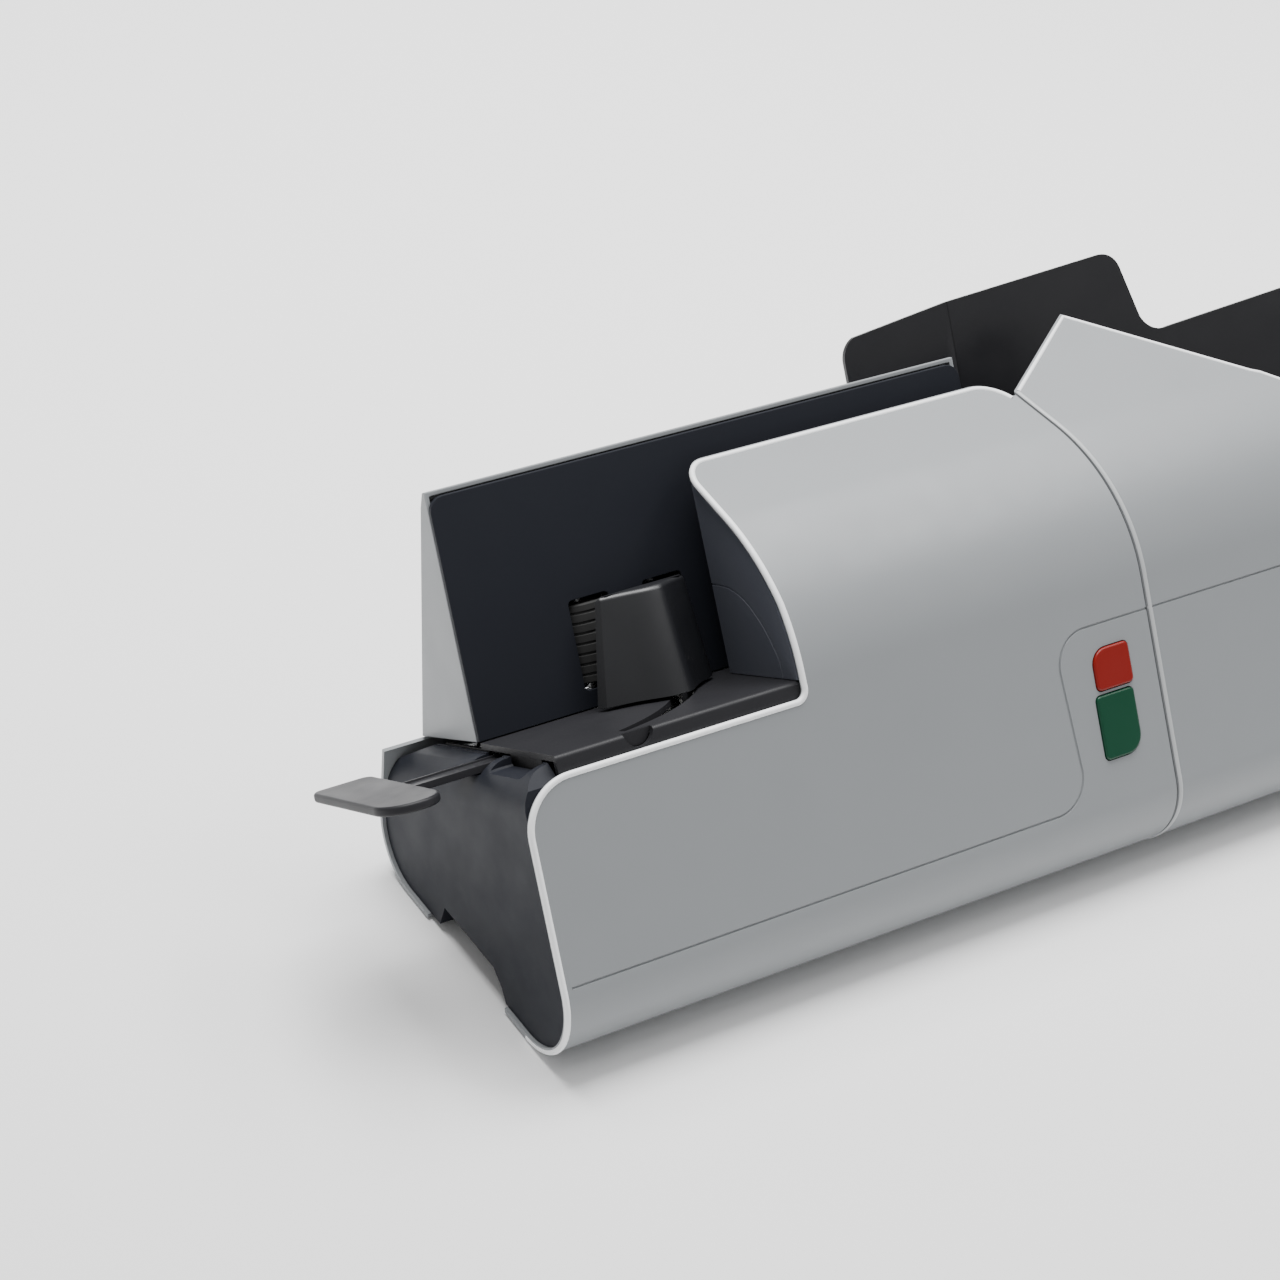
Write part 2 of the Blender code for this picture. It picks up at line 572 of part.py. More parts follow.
# ---------------------------------------------------------------- guide paddle and mail support
def make_paddle():
    """Guide paddle: a flared wing on a blade that runs in the crescent slot, on a pivoted arm."""
    foot = [(88.0, -1.0), (90.5, -6.5), (105.0, -12.0), (117.0, -22.0), (125.0, -26.5), (132.0, -24.0),
            (146.0, -12.0), (157.0, -5.0), (158.0, -1.0)]
    head = [(99.0, -1.0), (100.5, -5.0), (112.0, -8.5), (122.0, -11.0), (131.0, -12.0), (137.0, -10.5),
            (145.0, -8.0), (151.5, -4.0), (152.5, -1.0)]
    bm = bmesh.new()
    levels = (2.0, 20.0, 40.0, 58.0)
    rings = []
    for level in levels:
        t = (level - levels[0]) / (levels[-1] - levels[0])
        rings.append([bm.verts.new((((1 - t) * a[0] + t * b[0]) * MM, ((1 - t) * a[1] + t * b[1]) * MM,
                                    level * MM)) for a, b in zip(foot, head)])
    for below, above in zip(rings, rings[1:]):
        for i in range(len(foot)):
            j = (i + 1) % len(foot)
            bm.faces.new((below[i], below[j], above[j], above[i]))
    bm.faces.new(rings[0][::-1])
    bm.faces.new(rings[-1])
    bmesh.ops.recalc_face_normals(bm, faces=bm.faces)
    mesh = bpy.data.meshes.new("guide_paddle")
    bm.to_mesh(mesh)
    bm.free()
    paddle = add_object("guide_paddle", mesh, MAIL, "charcoal")
    blade = [*arc(PIVOT, 123.6, 315, 323, 3), *arc(PIVOT, 121.2, 323, 315, 3)]
    join(paddle, cutter("blade", blade, -11.6, 10.0, DECK, MAIL))
    arm = ([*arc(PIVOT, 8.0, 45, 225, 8)] + [*arc(PIVOT, 124.0, 314, 324, 3)])
    pin_hole = circle(PIVOT, BORE_R, 16)[::-1]
    plate("paddle_arm", arm, -15.0, -12.0, DECK, MAIL, "zinc", [pin_hole])
    pin = [(0.0, -9.0), (6.0, -9.0), (6.0, -11.6), (SHAFT_R, -11.6), (SHAFT_R, -23.0), (0.0, -23.0)]
    turned("paddle_pivot_pin", pin, (*PIVOT, 0.0), MAIL, "steel", 16)


def make_support():
    """Slide-out support for long envelopes: a flat pad on a bar in its channel."""
    pad = rounded((-62.0, -56.0), (-28.0, 38.0), (17.0, 15.0, 6.0, 6.0), 6)
    pad_node = plate("mail_support_pad", pad, -9.4, -4.4, DECK, MAIL, "charcoal")
    round_edges(pad_node, 1.2, 2, 50)
    section = [(-14.0, -9.4), (2.0, -9.4), (2.0, -5.6), (0.4, -5.6), (0.4, -6.8), (-12.4, -6.8),
               (-12.4, -5.6), (-14.0, -5.6)]
    plate("mail_support_bar", section, -27.6, 92.0, SIDE, MAIL, "charcoal")
    channel = [(-17.2, -11.6), (5.2, -11.6), (5.2, -3.6), (3.2, -3.6), (3.2, -9.8), (-15.2, -9.8),
               (-15.2, -3.6), (-17.2, -3.6)]
    plate("support_channel", channel, 33.0, 84.0, SIDE, MAIL, "charcoal")


# ---------------------------------------------------------------- buttons
def make_button(name, low, high, radii, material):
    """A pillowed key with a flange behind the cover and a plunger to its switch."""
    cap = plate(name, rounded(low, high, radii), FRONT_Y - 1.4, FRONT_Y + 4.0, FACE, MAIL, material)
    round_edges(cap, 1.0, 2, 50)
    x, z = (low[0] + high[0]) / 2, (low[1] + high[1]) / 2
    join(cap, cutter(name + "_stem", circle((x, z), 3.0, 12), FRONT_Y + 3.0, FRONT_Y + 8.0, FACE, MAIL))


def make_controls():
    """Stop and start buttons, the switches they press and the board behind them."""
    make_button("stop_button", *RED_BUTTON, (3.0, 3.0, 3.0, 9.5), "red")
    make_button("start_button", *GREEN_BUTTON, (3.0, 10.5, 3.0, 3.0), "green")
    outline = rounded((340.0, -98.0), (376.0, -26.0), (2.0,) * 4, 2)
    plate("switch_board", outline, FRONT_Y + 14.0, FRONT_Y + 15.6, FACE, MAIL, "board")
    for name, (low, high) in (("stop_switch", RED_BUTTON), ("start_switch", GREEN_BUTTON)):
        x, z = (low[0] + high[0]) / 2, (low[1] + high[1]) / 2
        block(name, (x - 4.0, x + 4.0), (FRONT_Y + 9.9, FRONT_Y + 13.6), (z - 4.0, z + 4.0), MAIL,
              "black", 0.4)


# ---------------------------------------------------------------- transport
def roller_profile(radius, low, high, hub=4.0):
    """Rubber tyre between its end faces, on a bore that fits the shaft."""
    return [(radius - 0.6, high), (radius, high - 0.8), (radius, low + 0.8), (radius - 0.6, low),
            (hub, low), (hub, high)]


def make_driven_roller(index, x):
    """A driven roller: rubber tyre on a steel shaft that carries its belt pulley."""
    name = ("feed_roller_1", "feed_roller_2", "separation_roller", "transport_roller")[index]
    turned(name, roller_profile(ROLLER_R, 13.0, 55.0), (x, ROLLER_Y, 0.0), MAIL, "rubber", 24, True)
    r = SHAFT_R
    shaft = [(0.0, 68.0), (r, 68.0), (r, 56.0), (3.7, 56.0), (3.7, 12.0), (r, 12.0), (r, -20.6),
             (PULLEY_R, -20.6), (PULLEY_R, -28.6), (0.0, -28.6)]
    turned(name + "_shaft", shaft, (x, ROLLER_Y, 0.0), MAIL, "steel", 24)


def make_drive():
    """Rollers, bearing plates, toothed belt and motor."""
    for index, x in enumerate(ROLLER_X):
        make_driven_roller(index, x)
    bores = [circle((x, ROLLER_Y), BORE_R, 16)[::-1] for x in (*ROLLER_X, MOTOR_X)]
    low_plate = rounded((28.2, 18.0), (350.0, 68.0), (3.0,) * 4, 2)
    plate("lower_bearing_plate", low_plate, -19.0, -16.5, DECK, MAIL, "zinc",
          [*bores, circle(PIVOT, BORE_R, 16)[::-1]])
    high_plate = rounded((30.0, 16.0), (350.0, 42.0), (3.0,) * 4, 2)
    plate("upper_bearing_plate", high_plate, 60.0, 62.5, DECK, MAIL, "zinc", bores[:4])
    inner = PULLEY_R + 0.35
    ends = (ROLLER_X[0], ROLLER_X[-1])
    loops = [arc((ends[1], ROLLER_Y), r, -90, 90, 10) + arc((ends[0], ROLLER_Y), r, 90, 270, 10)
             for r in (inner + 1.6, inner)]
    plate("drive_belt", loops[0], -27.8, -21.4, DECK, MAIL, "rubber", [loops[1][::-1]])
    motor_shaft = [(0.0, -20.6), (PULLEY_R, -20.6), (PULLEY_R, -28.6), (SHAFT_R, -28.6),
                   (SHAFT_R, -33.6), (0.0, -33.6)]
    turned("motor_pulley", motor_shaft, (MOTOR_X, ROLLER_Y, 0.0), MAIL, "steel", 24)
    can = [(0.0, -34.4), (SHAFT_R + 0.4, -34.4), (SHAFT_R + 0.4, -31.6), (7.0, -31.6), (7.0, -33.0),
           (20.0, -33.0), (21.0, -34.0), (21.0, -74.0), (20.0, -75.0), (0.0, -75.0)]
    turned("drive_motor", can, (MOTOR_X, ROLLER_Y, 0.0), MAIL, "zinc", 24)
    bracket = [(MOTOR_X - 30.0, -19.4), (MOTOR_X - 28.0, -19.4), (MOTOR_X - 28.0, -75.4),
               (MOTOR_X + 28.0, -75.4), (MOTOR_X + 28.0, -19.4), (MOTOR_X + 30.0, -19.4),
               (MOTOR_X + 30.0, -77.4), (MOTOR_X - 30.0, -77.4)]
    plate("motor_bracket", bracket[::-1], 38.5, 51.0, FACE, MAIL, "zinc")


def make_pinch_unit(name, x):
    """An idle roller on its shaft, held in front of a driven roller by a bracket."""
    centre = (x, PINCH_Y, 0.0)
    turned(name + "_roller", roller_profile(PINCH_R, 16.0, 52.0, 3.4), centre, MAIL, "rubber", 24, True)
    turned(name + "_shaft", solid_rod(SHAFT_R, 8.0, 60.0), centre, MAIL, "steel", 16)
    back = BRACKET_BACK_Y
    leaves = [(-26.0, 10.0), (back, 10.0), (back, 13.0), (-23.0, 13.0), (-23.0, 55.0), (back, 55.0),
              (back, 58.0), (-26.0, 58.0)]
    bracket = plate(name + "_bracket", leaves, x - 9.0, x + 9.0, SIDE, MAIL, "zinc")
    bore = turned(name + "_bore", solid_rod(BORE_R, 0.0, 70.0), centre, MAIL, None, 16)
    cut(bracket, bore)


def make_print_unit():
    """Print head facing the mail, the ink cartridge before it, and the rail that carries both."""
    block("print_head", (238.0, 266.0), (-24.0, -3.0), (14.0, 46.0), MAIL, "nylon", 1.0)
    block("ink_cartridge", (234.0, 270.0), (-56.0, -24.4), (10.0, 44.0), MAIL, "black", 1.5)
    rail = [(-58.0, GAP), (-4.0, GAP), (-4.0, 3.0), (-55.0, 3.0), (-55.0, 8.0), (-58.0, 8.0)]
    plate("transport_rail", rail, 176.0, 336.0, SIDE, MAIL, "zinc")


# ---------------------------------------------------------------- electrics and hardware
def make_electrics():
    """Power supply, main board, mains inlet and rocker switch."""
    block("power_supply", (560.0, 650.0), (-20.0, 56.0), (24.0, 58.0), MACHINE, "zinc", 1.0)
    plate("main_board", rounded((420.0, -80.0), (540.0, 20.0), (3.0,) * 4, 2), 30.0, 31.6, DECK, MACHINE,
          "board")
    inlet = block("power_inlet", (670.4, 697.6), (50.0, 70.6), (38.4, 57.6), MACHINE, "black", 0.8)
    cut(inlet, block("inlet_mouth", (674.0, 694.0), (58.0, 80.0), (42.0, 54.0), MACHINE, None))
    frame = block("switch_frame", (706.4, 726.6), (52.0, 70.6), (38.4, 57.6), MACHINE, "black", 0.6)
    cut(frame, block("rocker_room", (708.4, 724.6), (55.0, 80.0), (40.4, 55.6), MACHINE, None))
    lobes = [(-1.0, -5.6), (6.5, -6.4), (4.5, 0.0), (6.5, 6.4), (-1.0, 5.6), (-4.6, 0.0)]
    c, s = math.cos(ROCKER_TILT), math.sin(ROCKER_TILT)
    rocker = [(ROCKER_AXIS[0] + y * c - z * s, ROCKER_AXIS[1] + y * s + z * c) for y, z in lobes]
    plate("power_rocker", rocker, 708.9, 724.1, SIDE, MACHINE, "red")


def make_stop():
    """Stacker end stop: an upright plate on a shoe that slides along the stacker's floor."""
    outline = [(14.0, GAP), (56.0, GAP), (56.0, 70.0), (50.0, 76.0), (24.0, 76.0), (14.0, 60.0)]
    stop = plate("stacker_stop", outline, 724.0, 727.0, SIDE, MAIL, "charcoal")
    join(stop, block("shoe", (700.0, 725.0), (18.0, 52.0), (GAP, 3.4), MAIL, None))


def main():
    """Build every piece."""
    make_feed_cover()
    make_outfeed_cover()
    make_rear_cover()
    make_tower_cover()
    make_ends()
    make_base()
    make_feed_deck()
    make_stacker_deck()
    make_guide_wall()
    make_side_wall()
    make_stacker_wall()
    make_wing_guide()
    make_paddle()
    make_support()
    make_controls()
    make_drive()
    make_pinch_unit("separator", ROLLER_X[2])
    make_pinch_unit("pinch", ROLLER_X[3])
    make_print_unit()
    make_electrics()
    make_stop()


main()
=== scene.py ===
"""Looks of a franking machine that feeds standing mail from left to right.

Sizes are in millimetres and MM turns them into metres. Two working frames are used, as on the drawing
board: the table frame (x from the machine's left end, y towards the back, z up) and the mail frame, which is
the table frame turned back by the lean of the mail about the foot of the mail.
"""

import json
import logging
import math
from dataclasses import dataclass
from enum import Enum

import bpy
from mathutils import Matrix, Vector

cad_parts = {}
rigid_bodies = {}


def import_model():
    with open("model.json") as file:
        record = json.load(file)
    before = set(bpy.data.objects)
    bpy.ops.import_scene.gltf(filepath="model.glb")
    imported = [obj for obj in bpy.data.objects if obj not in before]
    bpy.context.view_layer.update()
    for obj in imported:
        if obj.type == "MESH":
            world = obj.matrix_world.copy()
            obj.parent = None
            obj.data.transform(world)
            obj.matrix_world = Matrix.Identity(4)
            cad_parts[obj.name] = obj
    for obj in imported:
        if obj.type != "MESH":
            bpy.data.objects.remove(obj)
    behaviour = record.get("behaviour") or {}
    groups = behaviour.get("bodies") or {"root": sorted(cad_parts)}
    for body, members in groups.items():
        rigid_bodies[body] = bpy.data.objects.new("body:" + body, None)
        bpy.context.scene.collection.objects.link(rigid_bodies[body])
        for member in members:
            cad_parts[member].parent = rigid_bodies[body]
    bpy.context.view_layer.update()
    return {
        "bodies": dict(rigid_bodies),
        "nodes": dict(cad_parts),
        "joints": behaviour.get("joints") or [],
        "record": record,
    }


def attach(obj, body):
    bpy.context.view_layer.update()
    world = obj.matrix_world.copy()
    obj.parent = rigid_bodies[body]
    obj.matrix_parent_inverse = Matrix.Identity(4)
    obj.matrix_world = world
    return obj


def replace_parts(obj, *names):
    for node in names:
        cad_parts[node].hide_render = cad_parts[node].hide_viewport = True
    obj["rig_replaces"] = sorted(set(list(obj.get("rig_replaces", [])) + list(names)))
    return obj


MM = 0.001
MERGE = 0.00001  # points nearer than this are one, in metres
FAR = 170.0  # past the end of any piece, for the cutters
LOG = logging.getLogger("franking_machine")
Point = tuple[float, float]
Triple = tuple[float, float, float]


# ---------------------------------------------------------------- the drawing board
@dataclass(frozen=True)
class Layout:
    """Driving sizes of the whole machine, in millimetres and degrees."""

    lean: float = 30.0
    mail_height: float = 118.0
    length: float = 780.0
    centre_x: float = 358.8
    centre_y: float = 4.5
    seam: float = 390.0
    seam_slant: float = 0.22
    front_y: float = -74.0
    ledge_z: float = -9.0
    hood_x: float = 168.0
    hood_back_y: float = 1.5
    gap: float = 0.4
    rear_curl: Point = (36.0, 35.2)

    def table(self) -> Matrix:
        """Place of the table frame in the scene."""
        return Matrix.Translation((-self.centre_x * MM, -self.centre_y * MM, 0.0))

    def mail(self) -> Matrix:
        """Place of the mail frame in the scene."""
        foot = Matrix.Translation((0.0, 0.0, self.mail_height * MM))
        return self.table() @ foot @ Matrix.Rotation(-math.radians(self.lean), 4, "X")

    def to_table(self, y: float, z: float) -> Point:
        """A depth and height of the mail frame, as the table frame has them."""
        lean = math.radians(self.lean)
        return (y * math.cos(lean) + z * math.sin(lean),
                self.mail_height - y * math.sin(lean) + z * math.cos(lean))

    def seam_x(self, y: float) -> float:
        """Place of the slanted seam between the modules at a depth."""
        return self.seam - self.seam_slant * (y - self.front_y)


LAYOUT = Layout()


class Plane(Enum):
    """The plane of the machine that a flat outline is drawn in."""

    DECK = "x, y"
    SIDE = "y, z"
    FACE = "x, z"

    def point(self, u: float, v: float, level: float) -> Vector:
        """A point of the outline at a level of its thickness, in metres."""
        order = {Plane.DECK: (u, v, level), Plane.SIDE: (level, u, v), Plane.FACE: (u, level, v)}
        return Vector(order[self]) * MM


def arc(centre: Point, radius: float, start: float, end: float, count: int = 12) -> list[Point]:
    """Points along an arc.

    Args:
        centre: middle of the arc.
        radius: its radius.
        start: first angle in degrees.
        end: last angle in degrees.
        count: number of steps.

    Returns:
        The points, one more than the steps.
    """
    angles = [math.radians(start + (end - start) * i / count) for i in range(count + 1)]
    return [(centre[0] + radius * math.cos(a), centre[1] + radius * math.sin(a)) for a in angles]


def rounded(low: Point, high: Point, radii: tuple[float, float, float, float],
            count: int = 8) -> list[Point]:
    """A rounded rectangle; the radii run from the low corner, anticlockwise."""
    (x0, y0), (x1, y1) = low, high
    a, b, c, d = radii
    return (arc((x0 + a, y0 + a), a, 180, 270, count) + arc((x1 - b, y0 + b), b, 270, 360, count)
            + arc((x1 - c, y1 - c), c, 0, 90, count) + arc((x0 + d, y1 - d), d, 90, 180, count))


def between(a: float, b: float, c: float, d: float, t: float) -> float:
    """A value at a share of the way from b to c, on the smooth line that also runs through a and d."""
    bend = 2 * a - 5 * b + 4 * c - d
    return 0.5 * (2 * b + (c - a) * t + bend * t * t + (3 * b - a - 3 * c + d) * t ** 3)


def eased(points: list[Point], per: int = 5) -> list[Point]:
    """An open line drawn smoothly through a few points.

    Args:
        points: the points to pass through.
        per: number of steps between two of them.

    Returns:
        The smooth line, with its two ends as given.
    """
    last = len(points) - 1
    line: list[Point] = []
    for i in range(last):
        a, b, c, d = (points[min(max(i + k, 0), last)] for k in (-1, 0, 1, 2))
        for step in range(per):
            line.append(tuple(between(a[k], b[k], c[k], d[k], step / per) for k in (0, 1)))
    return [*line, points[last]]


@dataclass(frozen=True)
class CoverSection:
    """Side view of the front covers in the mail frame: curl underneath, flat face, roll, sloping top."""

    bend_r: float = 110.0
    bend_turn: float = 51.0
    bend_z: float = 0.5
    curl_r: float = 36.0
    curl_z: float = -115.0
    skin: float = 3.0
    strip: float = 22.0

    def outline(self, inset: float, top_y: float) -> list[Point]:
        """The line of the cover from its tail to its top edge.

        Args:
            inset: distance inside the outer surface.
            top_y: depth at which the sloping top ends.

        Returns:
            Points (y, z), from the tail upwards.
        """
        curl = arc((LAYOUT.front_y + self.curl_r, self.curl_z), self.curl_r - inset, 300, 180, 22)
        lean = math.radians(LAYOUT.lean)
        start = (curl[0][0] + self.strip * math.cos(lean), curl[0][1] + self.strip * math.sin(lean))
        centre = (LAYOUT.front_y + self.bend_r, self.bend_z)
        roll = arc(centre, self.bend_r - inset, 180, 180 - self.bend_turn, 28)
        return [start, *curl, *roll, (top_y, self.height(top_y, inset))]

    def height(self, y: float, inset: float = 0.0) -> float:
        """Height of the sloping top at a depth."""
        turn = math.radians(self.bend_turn)
        start_y = LAYOUT.front_y + self.bend_r - (self.bend_r - inset) * math.cos(turn)
        start_z = self.bend_z + (self.bend_r - inset) * math.sin(turn)
        return start_z + (y - start_y) / math.tan(turn)

    def depth(self, z: float, inset: float = 0.0) -> float:
        """Depth of the cover's surface at a height."""
        if z < self.curl_z:
            radius = self.curl_r - inset
            return LAYOUT.front_y + self.curl_r - math.sqrt(max(radius ** 2 - (z - self.curl_z) ** 2, 0.0))
        turn = math.radians(self.bend_turn)
        bend_top = self.bend_z + (self.bend_r - inset) * math.sin(turn)
        if z <= self.bend_z:
            return LAYOUT.front_y + inset
        if z < bend_top:
            radius = self.bend_r - inset
            return LAYOUT.front_y + self.bend_r - math.sqrt(radius ** 2 - (z - self.bend_z) ** 2)
        bend_back = LAYOUT.front_y + self.bend_r - (self.bend_r - inset) * math.cos(turn)
        return bend_back + (z - bend_top) * math.tan(turn)


SECTION = CoverSection()


# ---------------------------------------------------------------- finishes
class Wiring:
    """Puts a material's nodes together."""

    def __init__(self, name: str) -> None:
        """Start a material whose shader is a plain principled one."""
        self.material = bpy.data.materials.new(name)
        self.material.use_nodes = True
        self.tree = self.material.node_tree
        self.shader = self.tree.nodes["Principled BSDF"]
        self.coords = self.tree.nodes.new("ShaderNodeTexCoord").outputs["Object"]

    def mapped(self, scale: Triple) -> bpy.types.NodeSocket:
        """The object's coordinates stretched by a scale."""
        node = self.tree.nodes.new("ShaderNodeMapping")
        node.inputs["Scale"].default_value = scale
        self.tree.links.new(self.coords, node.inputs["Vector"])
        return node.outputs["Vector"]

    def noise(self, scale: float, detail: float = 3.0,
              stretch: Triple = (1.0, 1.0, 1.0)) -> bpy.types.NodeSocket:
        """Soft noise at a scale per metre."""
        node = self.tree.nodes.new("ShaderNodeTexNoise")
        node.inputs["Scale"].default_value = scale
        node.inputs["Detail"].default_value = detail
        self.tree.links.new(self.mapped(stretch), node.inputs["Vector"])
        return node.outputs["Fac"]

    def cells(self, scale: float, metric: str = "EUCLIDEAN") -> bpy.types.NodeSocket:
        """A pattern of cells at a scale per metre, as the distance from the middle of each."""
        node = self.tree.nodes.new("ShaderNodeTexVoronoi")
        node.distance = metric
        node.inputs["Scale"].default_value = scale
        self.tree.links.new(self.coords, node.inputs["Vector"])
        return node.outputs["Distance"]

    def spread(self, value: bpy.types.NodeSocket, low: float, high: float,
               source: tuple[float, float] = (0.3, 0.7)) -> bpy.types.NodeSocket:
        """A pattern's values laid out between two limits."""
        node = self.tree.nodes.new("ShaderNodeMapRange")
        node.inputs["From Min"].default_value = source[0]
        node.inputs["From Max"].default_value = source[1]
        node.inputs["To Min"].default_value = low
        node.inputs["To Max"].default_value = high
        self.tree.links.new(value, node.inputs["Value"])
        return node.outputs["Result"]

    def blend(self, share: bpy.types.NodeSocket, first: Triple, second: Triple) -> bpy.types.NodeSocket:
        """A colour that runs between two by a share."""
        node = self.tree.nodes.new("ShaderNodeMix")
        node.data_type = "RGBA"
        ends = [socket for socket in node.inputs if socket.type == "RGBA"]
        for socket, colour in zip(ends, (first, second)):
            socket.default_value = (*colour, 1.0)
        self.tree.links.new(share, node.inputs["Factor"])
        return [out for out in node.outputs if out.type == "RGBA"][0]

    def paint(self, pattern: bpy.types.NodeSocket, first: Triple, second: Triple) -> None:
        """Colour the surface between two colours by a pattern."""
        self.tree.links.new(self.blend(pattern, first, second), self.shader.inputs["Base Color"])

    def polish(self, pattern: bpy.types.NodeSocket, low: float, high: float) -> None:
        """Vary the roughness between two limits by a pattern."""
        self.tree.links.new(self.spread(pattern, low, high), self.shader.inputs["Roughness"])

    def relief(self, height: bpy.types.NodeSocket, strength: float, depth: float) -> None:
        """Raise the surface by a height pattern, its depth in millimetres."""
        node = self.tree.nodes.new("ShaderNodeBump")
        node.inputs["Strength"].default_value = strength
        node.inputs["Distance"].default_value = depth * MM
        self.tree.links.new(height, node.inputs["Height"])
        self.tree.links.new(node.outputs["Normal"], self.shader.inputs["Normal"])


def tinted(colour: Triple, amount: float) -> Triple:
    """A colour made lighter or darker by a share."""
    return tuple(min(value * (1.0 + amount), 1.0) for value in colour)


@dataclass(frozen=True)
class MouldedPlastic:
    """Injection-moulded plastic with a spark-eroded grain and a faint cloud in its colour."""

    name: str
    colour: Triple
    roughness: float
    grain: float = 1400.0
    depth: float = 0.03
    cloud: float = 0.03
    specular: float = 0.5

    def make(self) -> bpy.types.Material:
        """Build the material."""
        wiring = Wiring(self.name)
        cloud = wiring.noise(9.0, 4.0)
        wiring.paint(cloud, tinted(self.colour, -self.cloud), tinted(self.colour, self.cloud))
        wiring.polish(wiring.noise(45.0, 5.0), self.roughness - 0.04, self.roughness + 0.05)
        wiring.relief(wiring.noise(self.grain, 2.0), 0.35, self.depth)
        wiring.shader.inputs["Specular IOR Level"].default_value = self.specular
        return wiring.material


@dataclass(frozen=True)
class PlatedSteel:
    """Zinc-plated sheet: faint crystals under fine rolling marks."""

    name: str
    colour: Triple
    roughness: float = 0.42

    def make(self) -> bpy.types.Material:
        """Build the material."""
        wiring = Wiring(self.name)
        wiring.paint(wiring.cells(160.0), tinted(self.colour, -0.16), tinted(self.colour, 0.1))
        marks = wiring.noise(60.0, 6.0, (1.0, 14.0, 14.0))
        wiring.polish(marks, self.roughness - 0.1, self.roughness + 0.12)
        wiring.relief(marks, 0.2, 0.03)
        wiring.shader.inputs["Metallic"].default_value = 1.0
        return wiring.material


@dataclass(frozen=True)
class GroundSteel:
    """Ground bar, its fine marks running round the shaft."""

    name: str
    colour: Triple
    roughness: float = 0.26

    def make(self) -> bpy.types.Material:
        """Build the material."""
        wiring = Wiring(self.name)
        marks = wiring.noise(35.0, 6.0, (1.0, 60.0, 60.0))
        wiring.paint(marks, tinted(self.colour, -0.12), tinted(self.colour, 0.08))
        wiring.polish(marks, self.roughness - 0.08, self.roughness + 0.12)
        wiring.relief(marks, 0.25, 0.02)
        wiring.shader.inputs["Metallic"].default_value = 1.0
        return wiring.material


@dataclass(frozen=True)
class Rubber:
    """Moulded rubber with a dry bloom."""

    name: str
    colour: Triple
    roughness: float = 0.82

    def make(self) -> bpy.types.Material:
        """Build the material."""
        wiring = Wiring(self.name)
        bloom = wiring.noise(70.0, 5.0)
        wiring.paint(bloom, self.colour, tinted(self.colour, 1.1))
        wiring.polish(bloom, self.roughness - 0.1, self.roughness + 0.08)
        wiring.relief(wiring.noise(2200.0, 2.0), 0.4, 0.05)
        wiring.shader.inputs["Specular IOR Level"].default_value = 0.3
        return wiring.material


@dataclass(frozen=True)
class CircuitBoard:
    """Solder mask over square-cornered copper tracks."""

    name: str
    mask: Triple
    track: Triple

    def make(self) -> bpy.types.Material:
        """Build the material."""
        wiring = Wiring(self.name)
        tracks = wiring.cells(260.0, metric="MANHATTAN")
        edge = wiring.spread(tracks, 0.0, 1.0, (0.32, 0.36))
        wiring.paint(edge, self.mask, self.track)
        wiring.polish(wiring.noise(80.0), 0.28, 0.4)
        wiring.relief(edge, 0.4, 0.05)
        return wiring.material


@dataclass(frozen=True)
class Nylon:
    """Natural nylon: waxy, with light under its skin."""

    name: str
    colour: Triple

    def make(self) -> bpy.types.Material:
        """Build the material."""
        wiring = Wiring(self.name)
        cloud = wiring.noise(30.0, 4.0)
        wiring.paint(cloud, tinted(self.colour, -0.06), tinted(self.colour, 0.04))
        wiring.polish(cloud, 0.42, 0.56)
        wiring.relief(wiring.noise(900.0, 2.0), 0.2, 0.03)
        wiring.shader.inputs["Subsurface Weight"].default_value = 0.15
        wiring.shader.inputs["Subsurface Radius"].default_value = (0.002, 0.0018, 0.0015)
        return wiring.material


class Finish(Enum):
    """Every finish on the machine, by the slot that it belongs to."""

    COVER = MouldedPlastic("cover_grey", (0.24, 0.252, 0.262), 0.36, 1500.0, 0.02, 0.02)
    # Cover plastic made almost white: painted highlight on the rounded free-edge beads.
    BEAD = MouldedPlastic("bead_painted_highlight", (0.9, 0.91, 0.92), 0.36, 1500.0, 0.015, 0.02)
    # Cover plastic made lighter: painted highlight on the low bead beside the seam.
    SEAM = MouldedPlastic("seam_painted_highlight", (0.42, 0.43, 0.435), 0.36, 1500.0, 0.015, 0.02)
    CHARCOAL = MouldedPlastic("charcoal", (0.015, 0.0165, 0.022), 0.5, 1300.0, 0.03, 0.08, 0.12)
    # Charcoal made lighter: painted light on the hood's side wall, which the lamps barely reach.
    LINED = MouldedPlastic("charcoal_painted_light", (0.075, 0.08, 0.098), 0.45, 1300.0, 0.02, 0.06, 0.3)
    SATIN = MouldedPlastic("satin_charcoal", (0.008, 0.0085, 0.0105), 0.4, 1600.0, 0.01, 0.08, 0.6)
    DECK = MouldedPlastic("deck_charcoal", (0.02, 0.02, 0.0225), 0.4, 1100.0, 0.03, 0.06, 0.2)
    BLACK = MouldedPlastic("black", (0.008, 0.008, 0.01), 0.4, 1500.0, 0.02, 0.1)
    RED = MouldedPlastic("red_key", (0.2, 0.005, 0.002), 0.34, 1800.0, 0.01, 0.05, 0.3)
    GREEN = MouldedPlastic("green_key", (0.0, 0.045, 0.02), 0.34, 1800.0, 0.01, 0.05, 0.3)
    RUBBER = Rubber("rubber", (0.018, 0.018, 0.018))
    STEEL = GroundSteel("ground_steel", (0.56, 0.57, 0.58))
    ZINC = PlatedSteel("zinc_plate", (0.62, 0.62, 0.6))
    # Zinc plate made dark: painted shade on the left frame, the one frame in view.
    PAINTED = PlatedSteel("zinc_painted_shade", (0.05, 0.05, 0.052), 0.6)
    BOARD = CircuitBoard("circuit_board", (0.012, 0.11, 0.04), (0.03, 0.2, 0.08))
    NYLON = Nylon("nylon", (0.74, 0.72, 0.66))


